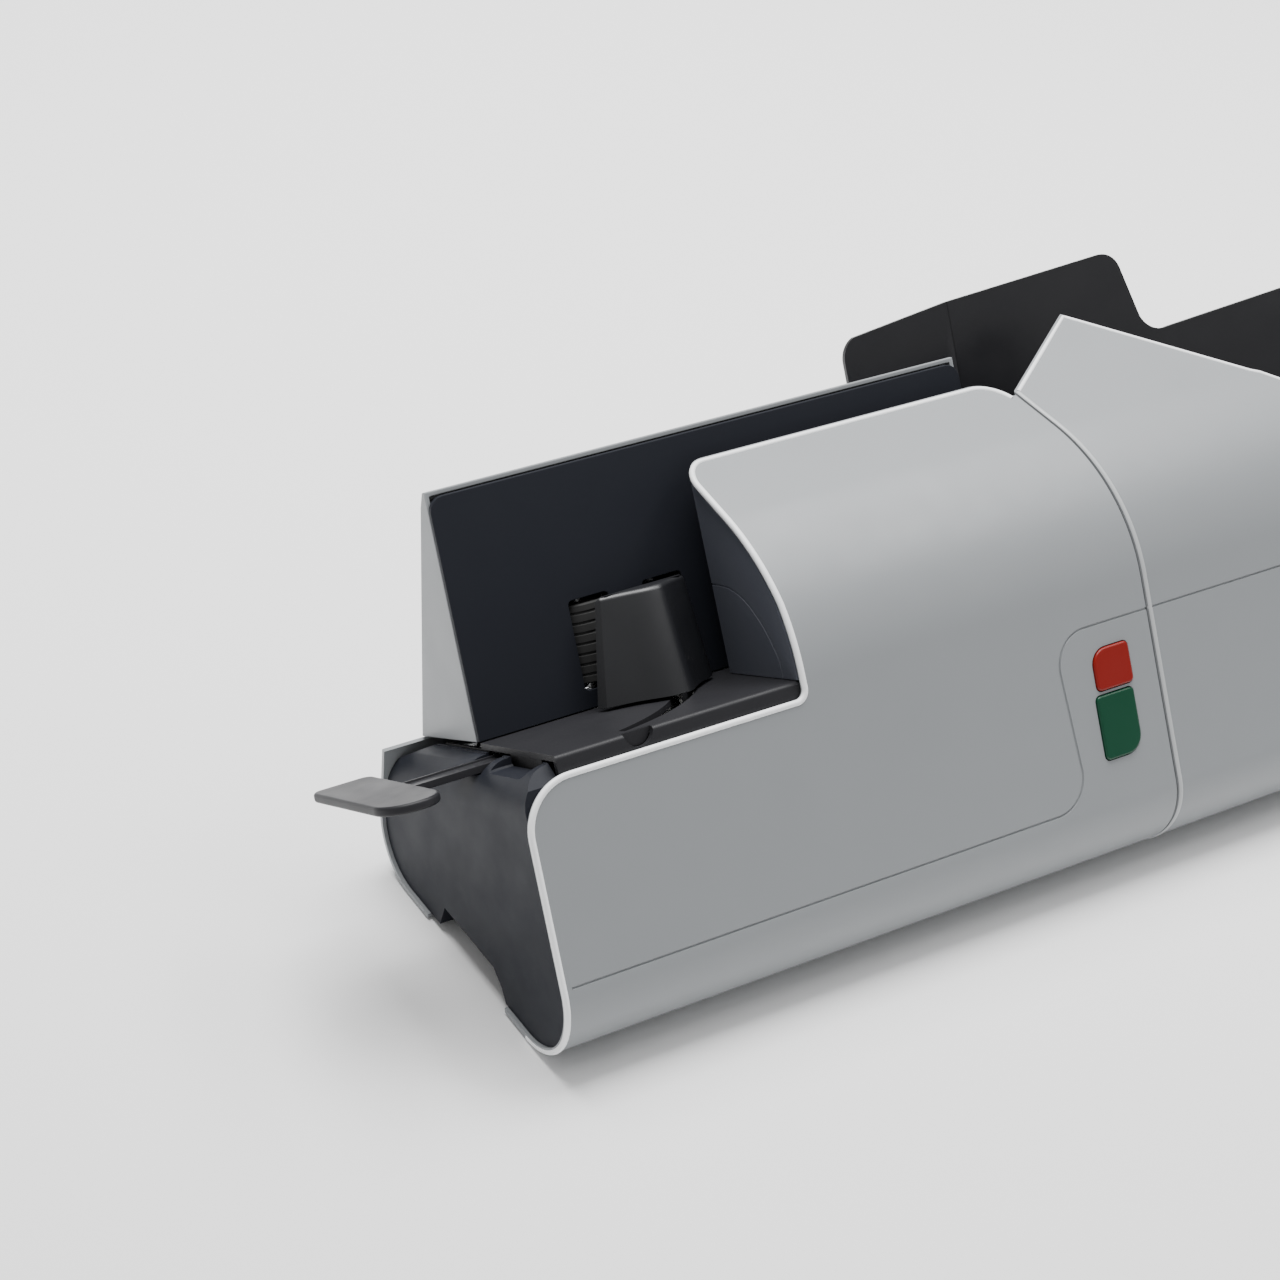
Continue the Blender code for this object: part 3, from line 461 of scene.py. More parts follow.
SLOT_OF = {Finish.COVER: "cover", Finish.BEAD: "cover", Finish.SEAM: "cover", Finish.CHARCOAL: "charcoal",
           Finish.LINED: "charcoal", Finish.SATIN: "charcoal", Finish.DECK: "charcoal",
           Finish.BLACK: "black", Finish.RED: "red", Finish.GREEN: "green", Finish.RUBBER: "rubber",
           Finish.STEEL: "steel", Finish.ZINC: "zinc", Finish.PAINTED: "zinc",
           Finish.BOARD: "board", Finish.NYLON: "nylon"}
# The first finish of each slot is the plain one.
PLAIN = {slot: finish for finish, slot in reversed(SLOT_OF.items())}


# ---------------------------------------------------------------- the modelling bench
class Bench:
    """The hand operations that pieces are made with, and the book of what has been made."""

    def __init__(self, frame: dict) -> None:
        """Keep the loaded frame and its table of nodes to bodies."""
        self.frame = frame
        bodies = frame["record"]["behaviour"]["bodies"]
        self.body_of = {node: body for body, nodes in bodies.items() for node in nodes}
        self.materials: dict[Finish, bpy.types.Material] = {}

    def clear(self) -> None:
        """Put everything down, ready for the next piece."""
        if bpy.context.mode != "OBJECT":
            bpy.ops.object.mode_set(mode="OBJECT")
        bpy.ops.object.select_all(action="DESELECT")

    def pick(self, piece: bpy.types.Object) -> None:
        """Take up one piece."""
        self.clear()
        piece.select_set(True)
        bpy.context.view_layer.objects.active = piece

    def edit(self, piece: bpy.types.Object) -> None:
        """Open a piece for edits, with all of it selected."""
        self.pick(piece)
        bpy.ops.object.mode_set(mode="EDIT")
        bpy.ops.mesh.select_mode(type="VERT")
        bpy.ops.mesh.select_all(action="SELECT")

    def chain(self, name: str, points: list[Vector], closed: bool = False) -> bpy.types.Object:
        """A line of edges pulled out from one point.

        Args:
            name: name of the new object.
            points: the places to pass through.
            closed: whether the line returns to its start.

        Returns:
            The object, left open for edits with its line selected.
        """
        self.clear()
        bpy.ops.mesh.primitive_plane_add(size=MM, location=points[0])
        piece = bpy.context.object
        piece.name = name
        self.edit(piece)
        bpy.ops.mesh.merge(type="CENTER")
        path = [*points, points[0]] if closed else points
        for before, after in zip(path, path[1:]):
            bpy.ops.mesh.extrude_vertices_move(TRANSFORM_OT_translate={"value": after - before})
        bpy.ops.mesh.select_all(action="SELECT")
        bpy.ops.mesh.remove_doubles(threshold=MERGE)
        return piece

    def plate(self, name: str, outline: list[Point], low: float, high: float,
              plane: Plane) -> bpy.types.Object:
        """A flat outline filled and pulled out to its thickness.

        Args:
            name: name of the new object.
            outline: the closed outline.
            low: first level of the thickness.
            high: second level.
            plane: plane of the outline.

        Returns:
            The closed solid, in its working frame.
        """
        piece = self.chain(name, [plane.point(u, v, low) for u, v in outline], closed=True)
        bpy.ops.mesh.edge_face_add()
        rise = plane.point(0.0, 0.0, high) - plane.point(0.0, 0.0, low)
        bpy.ops.mesh.extrude_region_move(TRANSFORM_OT_translate={"value": rise})
        self.tidy()
        return piece

    def tidy(self) -> None:
        """Close the edits with the doubles merged and the faces pointing out."""
        bpy.ops.mesh.select_all(action="SELECT")
        bpy.ops.mesh.remove_doubles(threshold=MERGE)
        bpy.ops.mesh.normals_make_consistent(inside=False)
        bpy.ops.object.mode_set(mode="OBJECT")

    def brick(self, name: str, x: Point, y: Point, z: Point) -> bpy.types.Object:
        """A cube brought to a box between pairs of limits."""
        self.clear()
        middle = [(low + high) / 2 * MM for low, high in (x, y, z)]
        bpy.ops.mesh.primitive_cube_add(size=1.0, location=middle)
        piece = bpy.context.object
        piece.name = name
        self.edit(piece)
        size = tuple((high - low) * MM for low, high in (x, y, z))
        bpy.ops.transform.resize(value=size, center_override=middle)
        bpy.ops.object.mode_set(mode="OBJECT")
        return piece

    def turned(self, name: str, profile: list[Point], centre: Triple, steps: int = 48,
               ring: bool = False) -> bpy.types.Object:
        """A profile of radii and heights spun about an upright line.

        Args:
            name: name of the new object.
            profile: pairs of radius and height.
            centre: place of the line, and the height added to the profile.
            steps: number of steps in the turn.
            ring: whether the profile closes on itself.

        Returns:
            The closed solid, in its working frame.
        """
        x, y, z = centre
        points = [Vector((x + radius, y, z + height)) * MM for radius, height in profile]
        piece = self.chain(name, points, closed=ring)
        middle = [value * MM for value in centre]
        bpy.ops.mesh.spin(steps=steps, angle=math.tau, center=middle, axis=(0.0, 0.0, 1.0))
        self.tidy()
        return piece

    def tube(self, name: str, path: list[Triple], radius: float, sides: int = 3) -> bpy.types.Object:
        """A round bead along a path, in its working frame."""
        self.chain(name, [Vector(point) * MM for point in path])
        bpy.ops.object.mode_set(mode="OBJECT")
        bpy.ops.object.convert(target="CURVE")
        piece = bpy.context.object
        piece.data.bevel_depth = radius * MM
        piece.data.bevel_resolution = sides
        piece.data.use_fill_caps = True
        bpy.ops.object.convert(target="MESH")
        piece = bpy.context.object
        self.edit(piece)
        self.tidy()
        return piece

    def modify(self, piece: bpy.types.Object, kind: str, **settings: object) -> None:
        """Add one modifier and apply it.

        Args:
            piece: the piece it works on.
            kind: Blender's name for the modifier.
            settings: its settings by name.
        """
        self.pick(piece)
        bpy.ops.object.modifier_add(type=kind)
        modifier = piece.modifiers[-1]
        for setting, value in settings.items():
            setattr(modifier, setting, value)
        bpy.ops.object.modifier_apply(modifier=modifier.name)

    def cut(self, piece: bpy.types.Object, *tools: bpy.types.Object, keep: bool = False) -> None:
        """Take tools away from a piece, or leave only what lies inside them."""
        for tool in tools:
            self.modify(piece, "BOOLEAN", operation="INTERSECT" if keep else "DIFFERENCE", object=tool,
                        solver="EXACT")
            bpy.data.objects.remove(tool)

    def weld_on(self, piece: bpy.types.Object, *others: bpy.types.Object) -> None:
        """Join other solids to a piece as one body."""
        for other in others:
            self.modify(piece, "BOOLEAN", operation="UNION", object=other, solver="EXACT")
            bpy.data.objects.remove(other)

    def round_off(self, piece: bpy.types.Object, width: float, segments: int = 3,
                  angle: float = 40.0) -> None:
        """Round the edges sharper than an angle, and keep the flats flat."""
        self.modify(piece, "BEVEL", width=width * MM, segments=segments, limit_method="ANGLE",
                    angle_limit=math.radians(angle), miter_outer="MITER_ARC", harden_normals=False)

    def softened(self, node: str, width: float) -> bpy.types.Object:
        """A copy of a frame node with its loose triangles merged and its edges rounded.

        Args:
            node: name of the node.
            width: width of the rounding in millimetres.

        Returns:
            The copy, in the scene's frame.
        """
        self.clear()
        piece = bpy.data.objects.new(node + "_moulding", self.frame["nodes"][node].data.copy())
        bpy.context.scene.collection.objects.link(piece)
        self.edit(piece)
        bpy.ops.mesh.remove_doubles(threshold=MERGE)
        bpy.ops.mesh.dissolve_limited(angle_limit=math.radians(0.5))
        bpy.ops.object.mode_set(mode="OBJECT")
        self.round_off(piece, width, 2)
        return piece

    def place(self, piece: bpy.types.Object, place: Matrix) -> None:
        """Move a piece from its working frame to the scene, and apply the move."""
        self.pick(piece)
        piece.matrix_world = place @ piece.matrix_world
        bpy.ops.object.transform_apply(location=True, rotation=True, scale=True)

    def material(self, finish: Finish) -> bpy.types.Material:
        """The material of a finish, built once."""
        if finish not in self.materials:
            self.materials[finish] = finish.value.make()
        return self.materials[finish]

    def hand_over(self, piece: bpy.types.Object, finish: Finish, body: str = "machine", *nodes: str,
                  place: Matrix | None = None, smooth: float = 28.0) -> bpy.types.Object:
        """Finish a piece: place it, shade it, dress it and let it ride.

        Args:
            piece: the finished shape.
            finish: what it is made of.
            body: the body that it moves with.
            nodes: frame nodes that it stands for.
            place: its working frame, or None if it is in the scene's frame already.
            smooth: angle in degrees over which an edge stays sharp.

        Returns:
            The same piece.
        """
        self.place(piece, Matrix.Identity(4) if place is None else place)
        self.pick(piece)
        bpy.ops.object.shade_smooth_by_angle(angle=math.radians(smooth))
        self.modify(piece, "WEIGHTED_NORMAL", keep_sharp=True)
        piece.data.materials.clear()
        piece.data.materials.append(self.material(finish))
        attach(piece, body)
        if nodes:
            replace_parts(piece, *nodes)
        LOG.info("%s: %d faces, rides on %s", piece.name, len(piece.data.polygons), body)
        return piece


# ---------------------------------------------------------------- front covers
@dataclass
class FrontCovers:
    """The two grey front covers, their beads and their moulded lines."""

    bench: Bench
    end_x: float = 0.6
    corner_r: float = 28.0
    wing_b: Point = (446.0, 30.5)
    wing_c: Point = (536.0, -41.0)
    wing_foot: float = 577.0
    bead: float = 1.7
    red: tuple[Point, Point] = ((348.4, -54.2), (373.2, -31.2))
    green: tuple[Point, Point] = ((346.3, -92.2), (371.8, -56.6))
    key_play: float = 0.5
    key_proud: float = 1.4
    well: Point = (5.2, 6.4)
    step_r: float = 5.0
    left_corner: Point = (178.0, -12.0)
    left_corner_r: float = 13.5
    right_corner: Point = (354.0, -20.5)
    right_corner_r: float = 22.0
    wing_bead: float = 1.3
    seam_back: float = -8.0
    groove_low: float = -113.0
    groove_high: float = -18.0
    seam_gap: float = 1.6
    foot_turn: float = 19.0
    rim_inset: float = 0.9
    groove_inset: float = 0.1
    groove_r: float = 0.75

    def end_line(self, inset: float = 0.0) -> list[Point]:
        """Front view of the free left end, from its foot to the ledge, some way inside the edge."""
        centre = (self.end_x + self.corner_r, LAYOUT.ledge_z - self.corner_r)
        return [(self.end_x + inset, -FAR), *arc(centre, self.corner_r - inset, 180, 90, 16)]

    def blank(self, name: str, left: float, right: float, top_y: float) -> bpy.types.Object:
        """The bent wall of a cover between two ends."""
        wall = SECTION.outline(0.0, top_y) + SECTION.outline(SECTION.skin, top_y)[::-1]
        return self.bench.plate(name, wall, left, right, Plane.SIDE)

    def wing_a(self) -> Point:
        """Where the wing's edge leaves the seam."""
        return (LAYOUT.seam_x(self.seam_back) + 1.2, self.seam_back)

    def wing_edge_x(self, y: float) -> float:
        """Place of the wing's right edge at a depth."""
        reach = (self.wing_c[0] - self.wing_b[0]) / (self.wing_c[1] - self.wing_b[1])
        return self.wing_b[0] + reach * (y - self.wing_b[1])

    def groove(self, path: list[Point]) -> bpy.types.Object:
        """A round cutter along a line of the front face."""
        line = [(x, SECTION.depth(z, self.groove_inset), z) for x, z in path]
        return self.bench.tube("groove", line, self.groove_r)

    def wing_foot_line(self, count: int) -> list[Point]:
        """Front view of the hollow corner at the wing's foot."""
        return arc((self.wing_foot + self.foot_turn, 10.0), self.foot_turn, 180, 270, count)

    def make_feed(self) -> None:
        """Cover of the feed module, with its hood, button openings and line."""
        bench = self.bench
        cover = self.blank("feed_cover_shell", -1.0, LAYOUT.seam + 20.0, LAYOUT.hood_back_y)
        hood = LAYOUT.hood_x
        trim = self.end_line() + self.step_line(self.step_r)
        trim += [(hood, 40.0), (hood - 3.0, 90.0), (hood - 3.6, FAR)]
        trim += [(LAYOUT.length, FAR), (LAYOUT.length, -FAR)]
        bench.cut(cover, bench.plate("trim", trim, -150.0, 60.0, Plane.FACE), keep=True)
        beyond = [(LAYOUT.seam_x(-FAR), -FAR), (LAYOUT.length, -FAR), (LAYOUT.length, 120.0),
                  (LAYOUT.seam_x(120.0), 120.0)]
        bench.cut(cover, bench.plate("seam", beyond, -FAR, FAR, Plane.DECK))
        left = [(100.0, 40.0), (100.0, -14.0), *arc(self.left_corner, self.left_corner_r, 180, 90, 10),
                (178.0, 40.0)]
        bench.cut(cover, bench.plate("left_corner", left, 84.0, FAR, Plane.DECK))
        edge = LAYOUT.seam_x(-12.0) + 40.0
        right = [(edge, -12.0), (edge, 40.0), (354.0, 40.0), (354.0, 1.5)]
        right += arc(self.right_corner, self.right_corner_r, 88, 28, 12)
        bench.cut(cover, bench.plate("right_corner", right, 70.0, FAR, Plane.DECK))
        for (low, high), radii in ((self.red, (3.5, 3.5, 3.5, 10.0)), (self.green, (3.5, 11.0, 3.5, 3.5))):
            play = self.key_play
            hole = rounded((low[0] - play, low[1] - play), (high[0] + play, high[1] + play), radii)
            bench.cut(cover, bench.plate("key_hole", hole, -90.0, -60.0, Plane.FACE))
        turn = 20.0
        line = [(6.0, self.groove_low), *arc((309.4, self.groove_low + turn), turn, 270, 360, 12),
                *arc((346.4, self.groove_high - turn), turn, 180, 90, 12), (392.0, self.groove_high)]
        bench.cut(cover, self.groove(line))
        bench.round_off(cover, 0.5, 2)
        bench.hand_over(cover, Finish.COVER, "machine", "feed_cover", place=LAYOUT.mail())

    def make_outfeed(self) -> None:
        """Cover of the outfeed module, with its pointed wing and its line."""
        bench = self.bench
        cover = self.blank("outfeed_cover_shell", LAYOUT.seam - 40.0, LAYOUT.length + 1.0, 40.0)
        far = [(LAYOUT.length - x, z) for x, z in self.end_line()]
        trim = [(-20.0, -FAR), (-20.0, FAR), (self.wing_foot, FAR), *self.wing_foot_line(12), *far[::-1]]
        bench.cut(cover, bench.plate("trim", trim, -150.0, 80.0, Plane.FACE), keep=True)
        before = [(200.0, -FAR), (LAYOUT.seam_x(-FAR) + self.seam_gap, -FAR),
                  (LAYOUT.seam_x(120.0) + self.seam_gap, 120.0), (200.0, 120.0)]
        bench.cut(cover, bench.plate("seam", before, -FAR, 190.0, Plane.DECK))
        a, b = self.wing_a(), self.wing_b
        left = [a, b, (b[0], 100.0), (300.0, 100.0), (300.0, a[1])]
        bench.cut(cover, bench.plate("wing_left", left, 0.0, 190.0, Plane.DECK))
        right = [b, (self.wing_edge_x(-100.0), -100.0), (800.0, -100.0), (800.0, 100.0), (b[0] - 30.0, 100.0)]
        bench.cut(cover, bench.plate("wing_right", right, 12.0, 190.0, Plane.DECK))
        line = [(380.0, self.groove_high), (748.0, self.groove_high), *arc((748.0, -34.0), 16.0, 88, 0, 8),
                (764.0, -90.0)]
        bench.cut(cover, self.groove(line))
        bench.round_off(cover, 0.5, 2)
        bench.hand_over(cover, Finish.COVER, "machine", "outfeed_cover", place=LAYOUT.mail())

    def step_line(self, radius: float) -> list[Point]:
        """Front view of the hollow corner between the ledge and the hood."""
        return arc((LAYOUT.hood_x - self.step_r, LAYOUT.ledge_z + self.step_r), radius, 270, 360, 8)

    def rim(self, x: float, z: float) -> Triple:
        """A point of a bead on the front face, just inside the surface."""
        return (x, SECTION.depth(z, self.rim_inset), z)

    def make_beads(self) -> None:
        """The pale beads along the covers' free edges; their pale colour is painted highlight."""
        bench = self.bench
        inset = self.rim_inset
        centre = (LAYOUT.front_y + SECTION.curl_r, SECTION.curl_z)
        curl = arc(centre, SECTION.curl_r - inset, 300, 180, 22)
        under = [(self.end_x + 1.2, y, z) for y, z in curl]
        face = [self.rim(x, z) for x, z in self.end_line(1.2)[1:]]
        hood = LAYOUT.hood_x
        step = [self.rim(x, z) for x, z in self.step_line(self.step_r + 1.2)]
        side = [self.rim(hood + 1.1 - 3.0 * max(z - 40.0, 0.0) / 50.0, z) for z in range(4, 88, 4)]
        top = arc(self.left_corner, self.left_corner_r - 1.0, 178, 90, 10)
        top += arc(self.right_corner, self.right_corner_r - 1.0, 88, 28, 12)
        path = [*under, *face, *step, *side, *[(x, y, SECTION.height(y, inset)) for x, y in top]]
        bead = bench.tube("feed_cover_bead", path, self.bead, sides=4)
        # Pale bead colour: painted highlight on the rim.
        bench.hand_over(bead, Finish.BEAD, place=LAYOUT.mail(), smooth=60.0)
        line = [(LAYOUT.seam_x(y) + 3.3, y, z) for y, z in SECTION.outline(1.1, self.seam_back)]
        seam = bench.tube("seam_bead", line, self.bead, sides=4)
        # Lighter seam bead: painted highlight.
        bench.hand_over(seam, Finish.SEAM, place=LAYOUT.mail(), smooth=60.0)
        a, b = self.wing_a(), self.wing_b
        shares = (0.03, 0.3, 0.6, 0.99)
        left = [(a[0] + (b[0] - a[0]) * t + 1.0, a[1] + (b[1] - a[1]) * t - 1.0) for t in shares]
        wing = [(x, y, SECTION.height(y, 0.7)) for x, y in left]
        wing += [(self.wing_edge_x(y) - 1.2, y, SECTION.height(y, 0.7)) for y in (28.0, 10.0, -10.0, -32.0)]
        wing += [(self.wing_edge_x(SECTION.depth(z)) - 1.2, SECTION.depth(z, 0.7), z)
                 for z in range(84, 12, -6)]
        foot = [self.rim(x - 1.0, z - 1.0) for x, z in self.wing_foot_line(10)]
        far = [(LAYOUT.length - x, y, z) for x, y, z in [*under, *face]]
        bead = bench.tube("outfeed_cover_bead", [*wing, *foot, *far[::-1]], self.wing_bead, sides=4)
        # Pale bead colour: painted highlight on the rim.
        bench.hand_over(bead, Finish.BEAD, place=LAYOUT.mail(), smooth=60.0)

    def make_seam_strip(self) -> None:
        """Black strip behind the seam: painted shade, which makes the gap read dark."""
        bench = self.bench
        outer, inner = (SECTION.outline(SECTION.skin + depth, self.seam_back) for depth in (0.3, 1.2))
        wall = outer + inner[::-1]
        strip = bench.plate("seam_strip", wall, 340.0, 420.0, Plane.SIDE)
        front, back = LAYOUT.seam_x(-FAR), LAYOUT.seam_x(60.0)
        band = [(front - 4.0, -FAR), (front + 5.0, -FAR), (back + 5.0, 60.0), (back - 4.0, 60.0)]
        bench.cut(strip, bench.plate("band", band, -FAR, 190.0, Plane.DECK), keep=True)
        # Black strip: painted shade in the seam gap.
        bench.hand_over(strip, Finish.BLACK, place=LAYOUT.mail())

    def make_keys(self) -> None:
        """The red and the green key, pillowed, in a dark well."""
        bench = self.bench
        well = bench.plate("key_well", rounded((343.0, -96.0), (377.0, -27.0), (3.0,) * 4),
                           LAYOUT.front_y + self.well[0], LAYOUT.front_y + self.well[1], Plane.FACE)
        for low, high in (self.red, self.green):
            x, z = (low[0] + high[0]) / 2, (low[1] + high[1]) / 2
            hole = bench.plate("hole", arc((x, z), 3.6, 0, 345, 23), LAYOUT.front_y,
                               LAYOUT.front_y + 10.0, Plane.FACE)
            bench.cut(well, hole)
        bench.hand_over(well, Finish.BLACK, place=LAYOUT.mail())
        for name, (low, high), radii, finish in (
                ("stop", self.red, (3.0, 3.0, 3.0, 9.5), Finish.RED),
                ("start", self.green, (3.0, 10.5, 3.0, 3.0), Finish.GREEN)):
            key = bench.plate(name + "_key", rounded(low, high, radii), LAYOUT.front_y - self.key_proud,
                              LAYOUT.front_y + 2.6, Plane.FACE)
            bench.round_off(key, 1.3, 5)
            x, z = (low[0] + high[0]) / 2, (low[1] + high[1]) / 2
            bench.weld_on(key, bench.plate("stem", arc((x, z), 3.0, 0, 345, 23), LAYOUT.front_y + 1.0,
                                           LAYOUT.front_y + 8.0, Plane.FACE))
            bench.hand_over(key, finish, name + "_button", name + "_button", place=LAYOUT.mail())

    def make(self) -> None:
        """Make every piece of the covers."""
        self.make_feed()
        self.make_outfeed()
        self.make_beads()
        self.make_seam_strip()
        self.make_keys()


# ---------------------------------------------------------------- feed side
@dataclass
class FeedSide:
    """What stands on and around the feed deck."""

    bench: Bench
    pivot: Point = (38.0, 59.0)
    paddle_top: float = 58.0
    tapers: Point = (0.236, 0.57)
    draw_in: Point = (134.7, -1.0)

    def make_side_wall(self) -> None:
        """Dark wall under the hood's left edge, with its moulded arc."""
        bench = self.bench
        clear = SECTION.skin + LAYOUT.gap
        inner = [point for point in SECTION.outline(clear, LAYOUT.hood_back_y - 4.0) if point[1] > 4.0]
        outline = [(-4.5, LAYOUT.gap), (LAYOUT.front_y + clear, LAYOUT.gap), *inner]
        hood = LAYOUT.hood_x
        wall = bench.plate("hood_wall_moulding", outline, hood - 0.8, hood + 2.2, Plane.SIDE)
        line = eased([(2.0, 48.5), (-6.1, 48.5), (-20.1, 47.1), (-32.5, 41.8), (-41.9, 33.6), (-48.1, 26.2),
                      (-53.5, 17.0), (-56.7, 9.6), (-57.7, -2.0)], 3)
        bench.cut(wall, bench.tube("line", [(hood - 0.9, y, z) for y, z in line], 0.6))
        bench.round_off(wall, 0.4, 2)
        # Lighter charcoal on the wall: painted light.
        bench.hand_over(wall, Finish.LINED, "machine", "hood_side_wall", place=LAYOUT.mail())

    def make_paddle(self) -> None:
        """Guide paddle: a leaning sail on a blade."""
        bench = self.bench
        crease = (133.5, -24.4)
        front = eased([(90.5, -6.5), (98.0, -9.5), (107.0, -14.5), (114.0, -20.5), (120.0, -25.0),
                       (125.0, -26.6), (130.0, -26.4), crease], 3)
        right = eased([crease, (140.0, -17.0), (148.0, -10.5), (156.0, -5.0), (158.0, -1.0)], 3)
        foot = [(88.0, -1.0), *front, *right[1:]]
        bottom = 2.0
        sail = bench.chain("paddle_sail", [Plane.DECK.point(x, y, bottom) for x, y in foot], closed=True)
        bpy.ops.mesh.edge_face_add()
        levels = 7
        rise = (self.paddle_top - bottom) / levels
        centre = Plane.DECK.point(*self.draw_in, 0.0)
        for i in range(levels):
            bpy.ops.mesh.extrude_region_move(TRANSFORM_OT_translate={"value": (0.0, 0.0, rise * MM)})
            share = [(1.0 - taper * (i + 1) / levels) / (1.0 - taper * i / levels) for taper in self.tapers]
            bpy.ops.transform.resize(value=(*share, 1.0), center_override=centre)
        bpy.ops.mesh.bevel(offset=2.6 * MM, segments=4, affect="EDGES")
        bench.tidy()
        bench.round_off(sail, 0.6, 3, 35.0)
        blade = arc(self.pivot, 123.6, 315, 323, 8) + arc(self.pivot, 121.2, 323, 315, 8)
        bench.weld_on(sail, bench.plate("blade", blade, -11.6, 2.6, Plane.DECK))
        bench.hand_over(sail, Finish.SATIN, "guide_paddle", "guide_paddle", place=LAYOUT.mail(), smooth=35.0)

    def make_support(self) -> None:
        """Slide-out support: rounded pad on a bar with two rails."""
        bench = self.bench
        outline = rounded((-62.0, -56.0), (-28.0, 38.0), (17.0, 15.0, 6.0, 6.0), 12)
        pad = bench.plate("support_pad", outline, -9.4, -4.4, Plane.DECK)
        bench.round_off(pad, 1.6, 4)
        bench.hand_over(pad, Finish.DECK, "mail_support", "mail_support_pad", place=LAYOUT.mail())
        bar = bench.softened("mail_support_bar", 0.35)
        bench.hand_over(bar, Finish.DECK, "mail_support", "mail_support_bar")

    def make_notch_cup(self) -> None:
        """Back of the thumb notch in the deck's front edge."""
        half = arc((72.0, 0.4), 8.3, 184, 356, 20)
        cup = self.bench.plate("notch_cup", half, -67.0, -66.1, Plane.FACE)
        self.bench.hand_over(cup, Finish.DECK, place=LAYOUT.mail())

    def make_end_caps(self) -> None:
        """Dark end caps, rolled at their outer upper edge."""
        bench = self.bench
        for name, node, outer, inner in (("left_cap", "left_end_cap", 2.4, 23.9),
                                         ("right_cap", "right_end_cap", 777.6, 756.1)):
            step = 1.0 if inner > outer else -1.0
            low, high = min(outer, inner), max(outer, inner)
            cap = bench.plate(name, self.cap_outline(), low, high, Plane.SIDE)
            bench.place(cap, Matrix.Rotation(math.radians(LAYOUT.lean), 4, "X")
                        @ Matrix.Translation((0.0, 0.0, -LAYOUT.mail_height * MM)))
            roll = outer + 20.0 * step
            sweep = (180, 90) if step > 0 else (0, 90)
            shave = [(outer - 10.0 * step, 12.0), (outer - 10.0 * step, -24.5),
                     *arc((roll, -24.5), 20.0, *sweep, 18), (roll, 12.0)]
            bench.cut(cap, bench.plate("roll", shave, -120.0, 90.0, Plane.FACE))
            if step > 0:
                bench.cut(cap, bench.brick("slot", (-10.0, 40.0), (-15.0, 3.0), (-10.2, 10.0)))
                bowl = [(0.0, 10.0), (19.0, 10.0), (19.0, -8.0), (18.0, -9.0), (0.0, -9.0)]
                bench.cut(cap, bench.turned("scoop", bowl, (18.0, -40.0, 0.0)))
            bench.round_off(cap, 0.8, 3)
            bench.hand_over(cap, Finish.CHARCOAL, "machine", node, place=LAYOUT.mail())

    def cap_outline(self) -> list[Point]:
        """Side view of an end cap in the table frame."""
        inner = SECTION.skin + LAYOUT.gap
        front = [LAYOUT.to_table(y, z) for y, z in SECTION.outline(inner, -60.0)[1:24]]
        top_front = LAYOUT.to_table(LAYOUT.front_y + inner, LAYOUT.ledge_z - 4.0)
        crown = LAYOUT.to_table(LAYOUT.front_y + 12.0, -4.0)
        top_back = LAYOUT.to_table(62.0, -4.0)
        rear = [(67.1, 68.0), *arc(LAYOUT.rear_curl, 31.1, 0, -90, 16)]
        arch = [(4.0, rear[-1][1]), (0.0, 18.0), (-52.0, 18.0), (-61.0, 11.5), (-66.4, 4.6)]
        return [*arch, *front, top_front, crown, top_back, *rear]

    def make(self) -> None:
        """Make every piece of the feed side."""
        self.make_side_wall()
        self.make_paddle()
        self.make_support()
        self.make_notch_cup()
        self.make_end_caps()


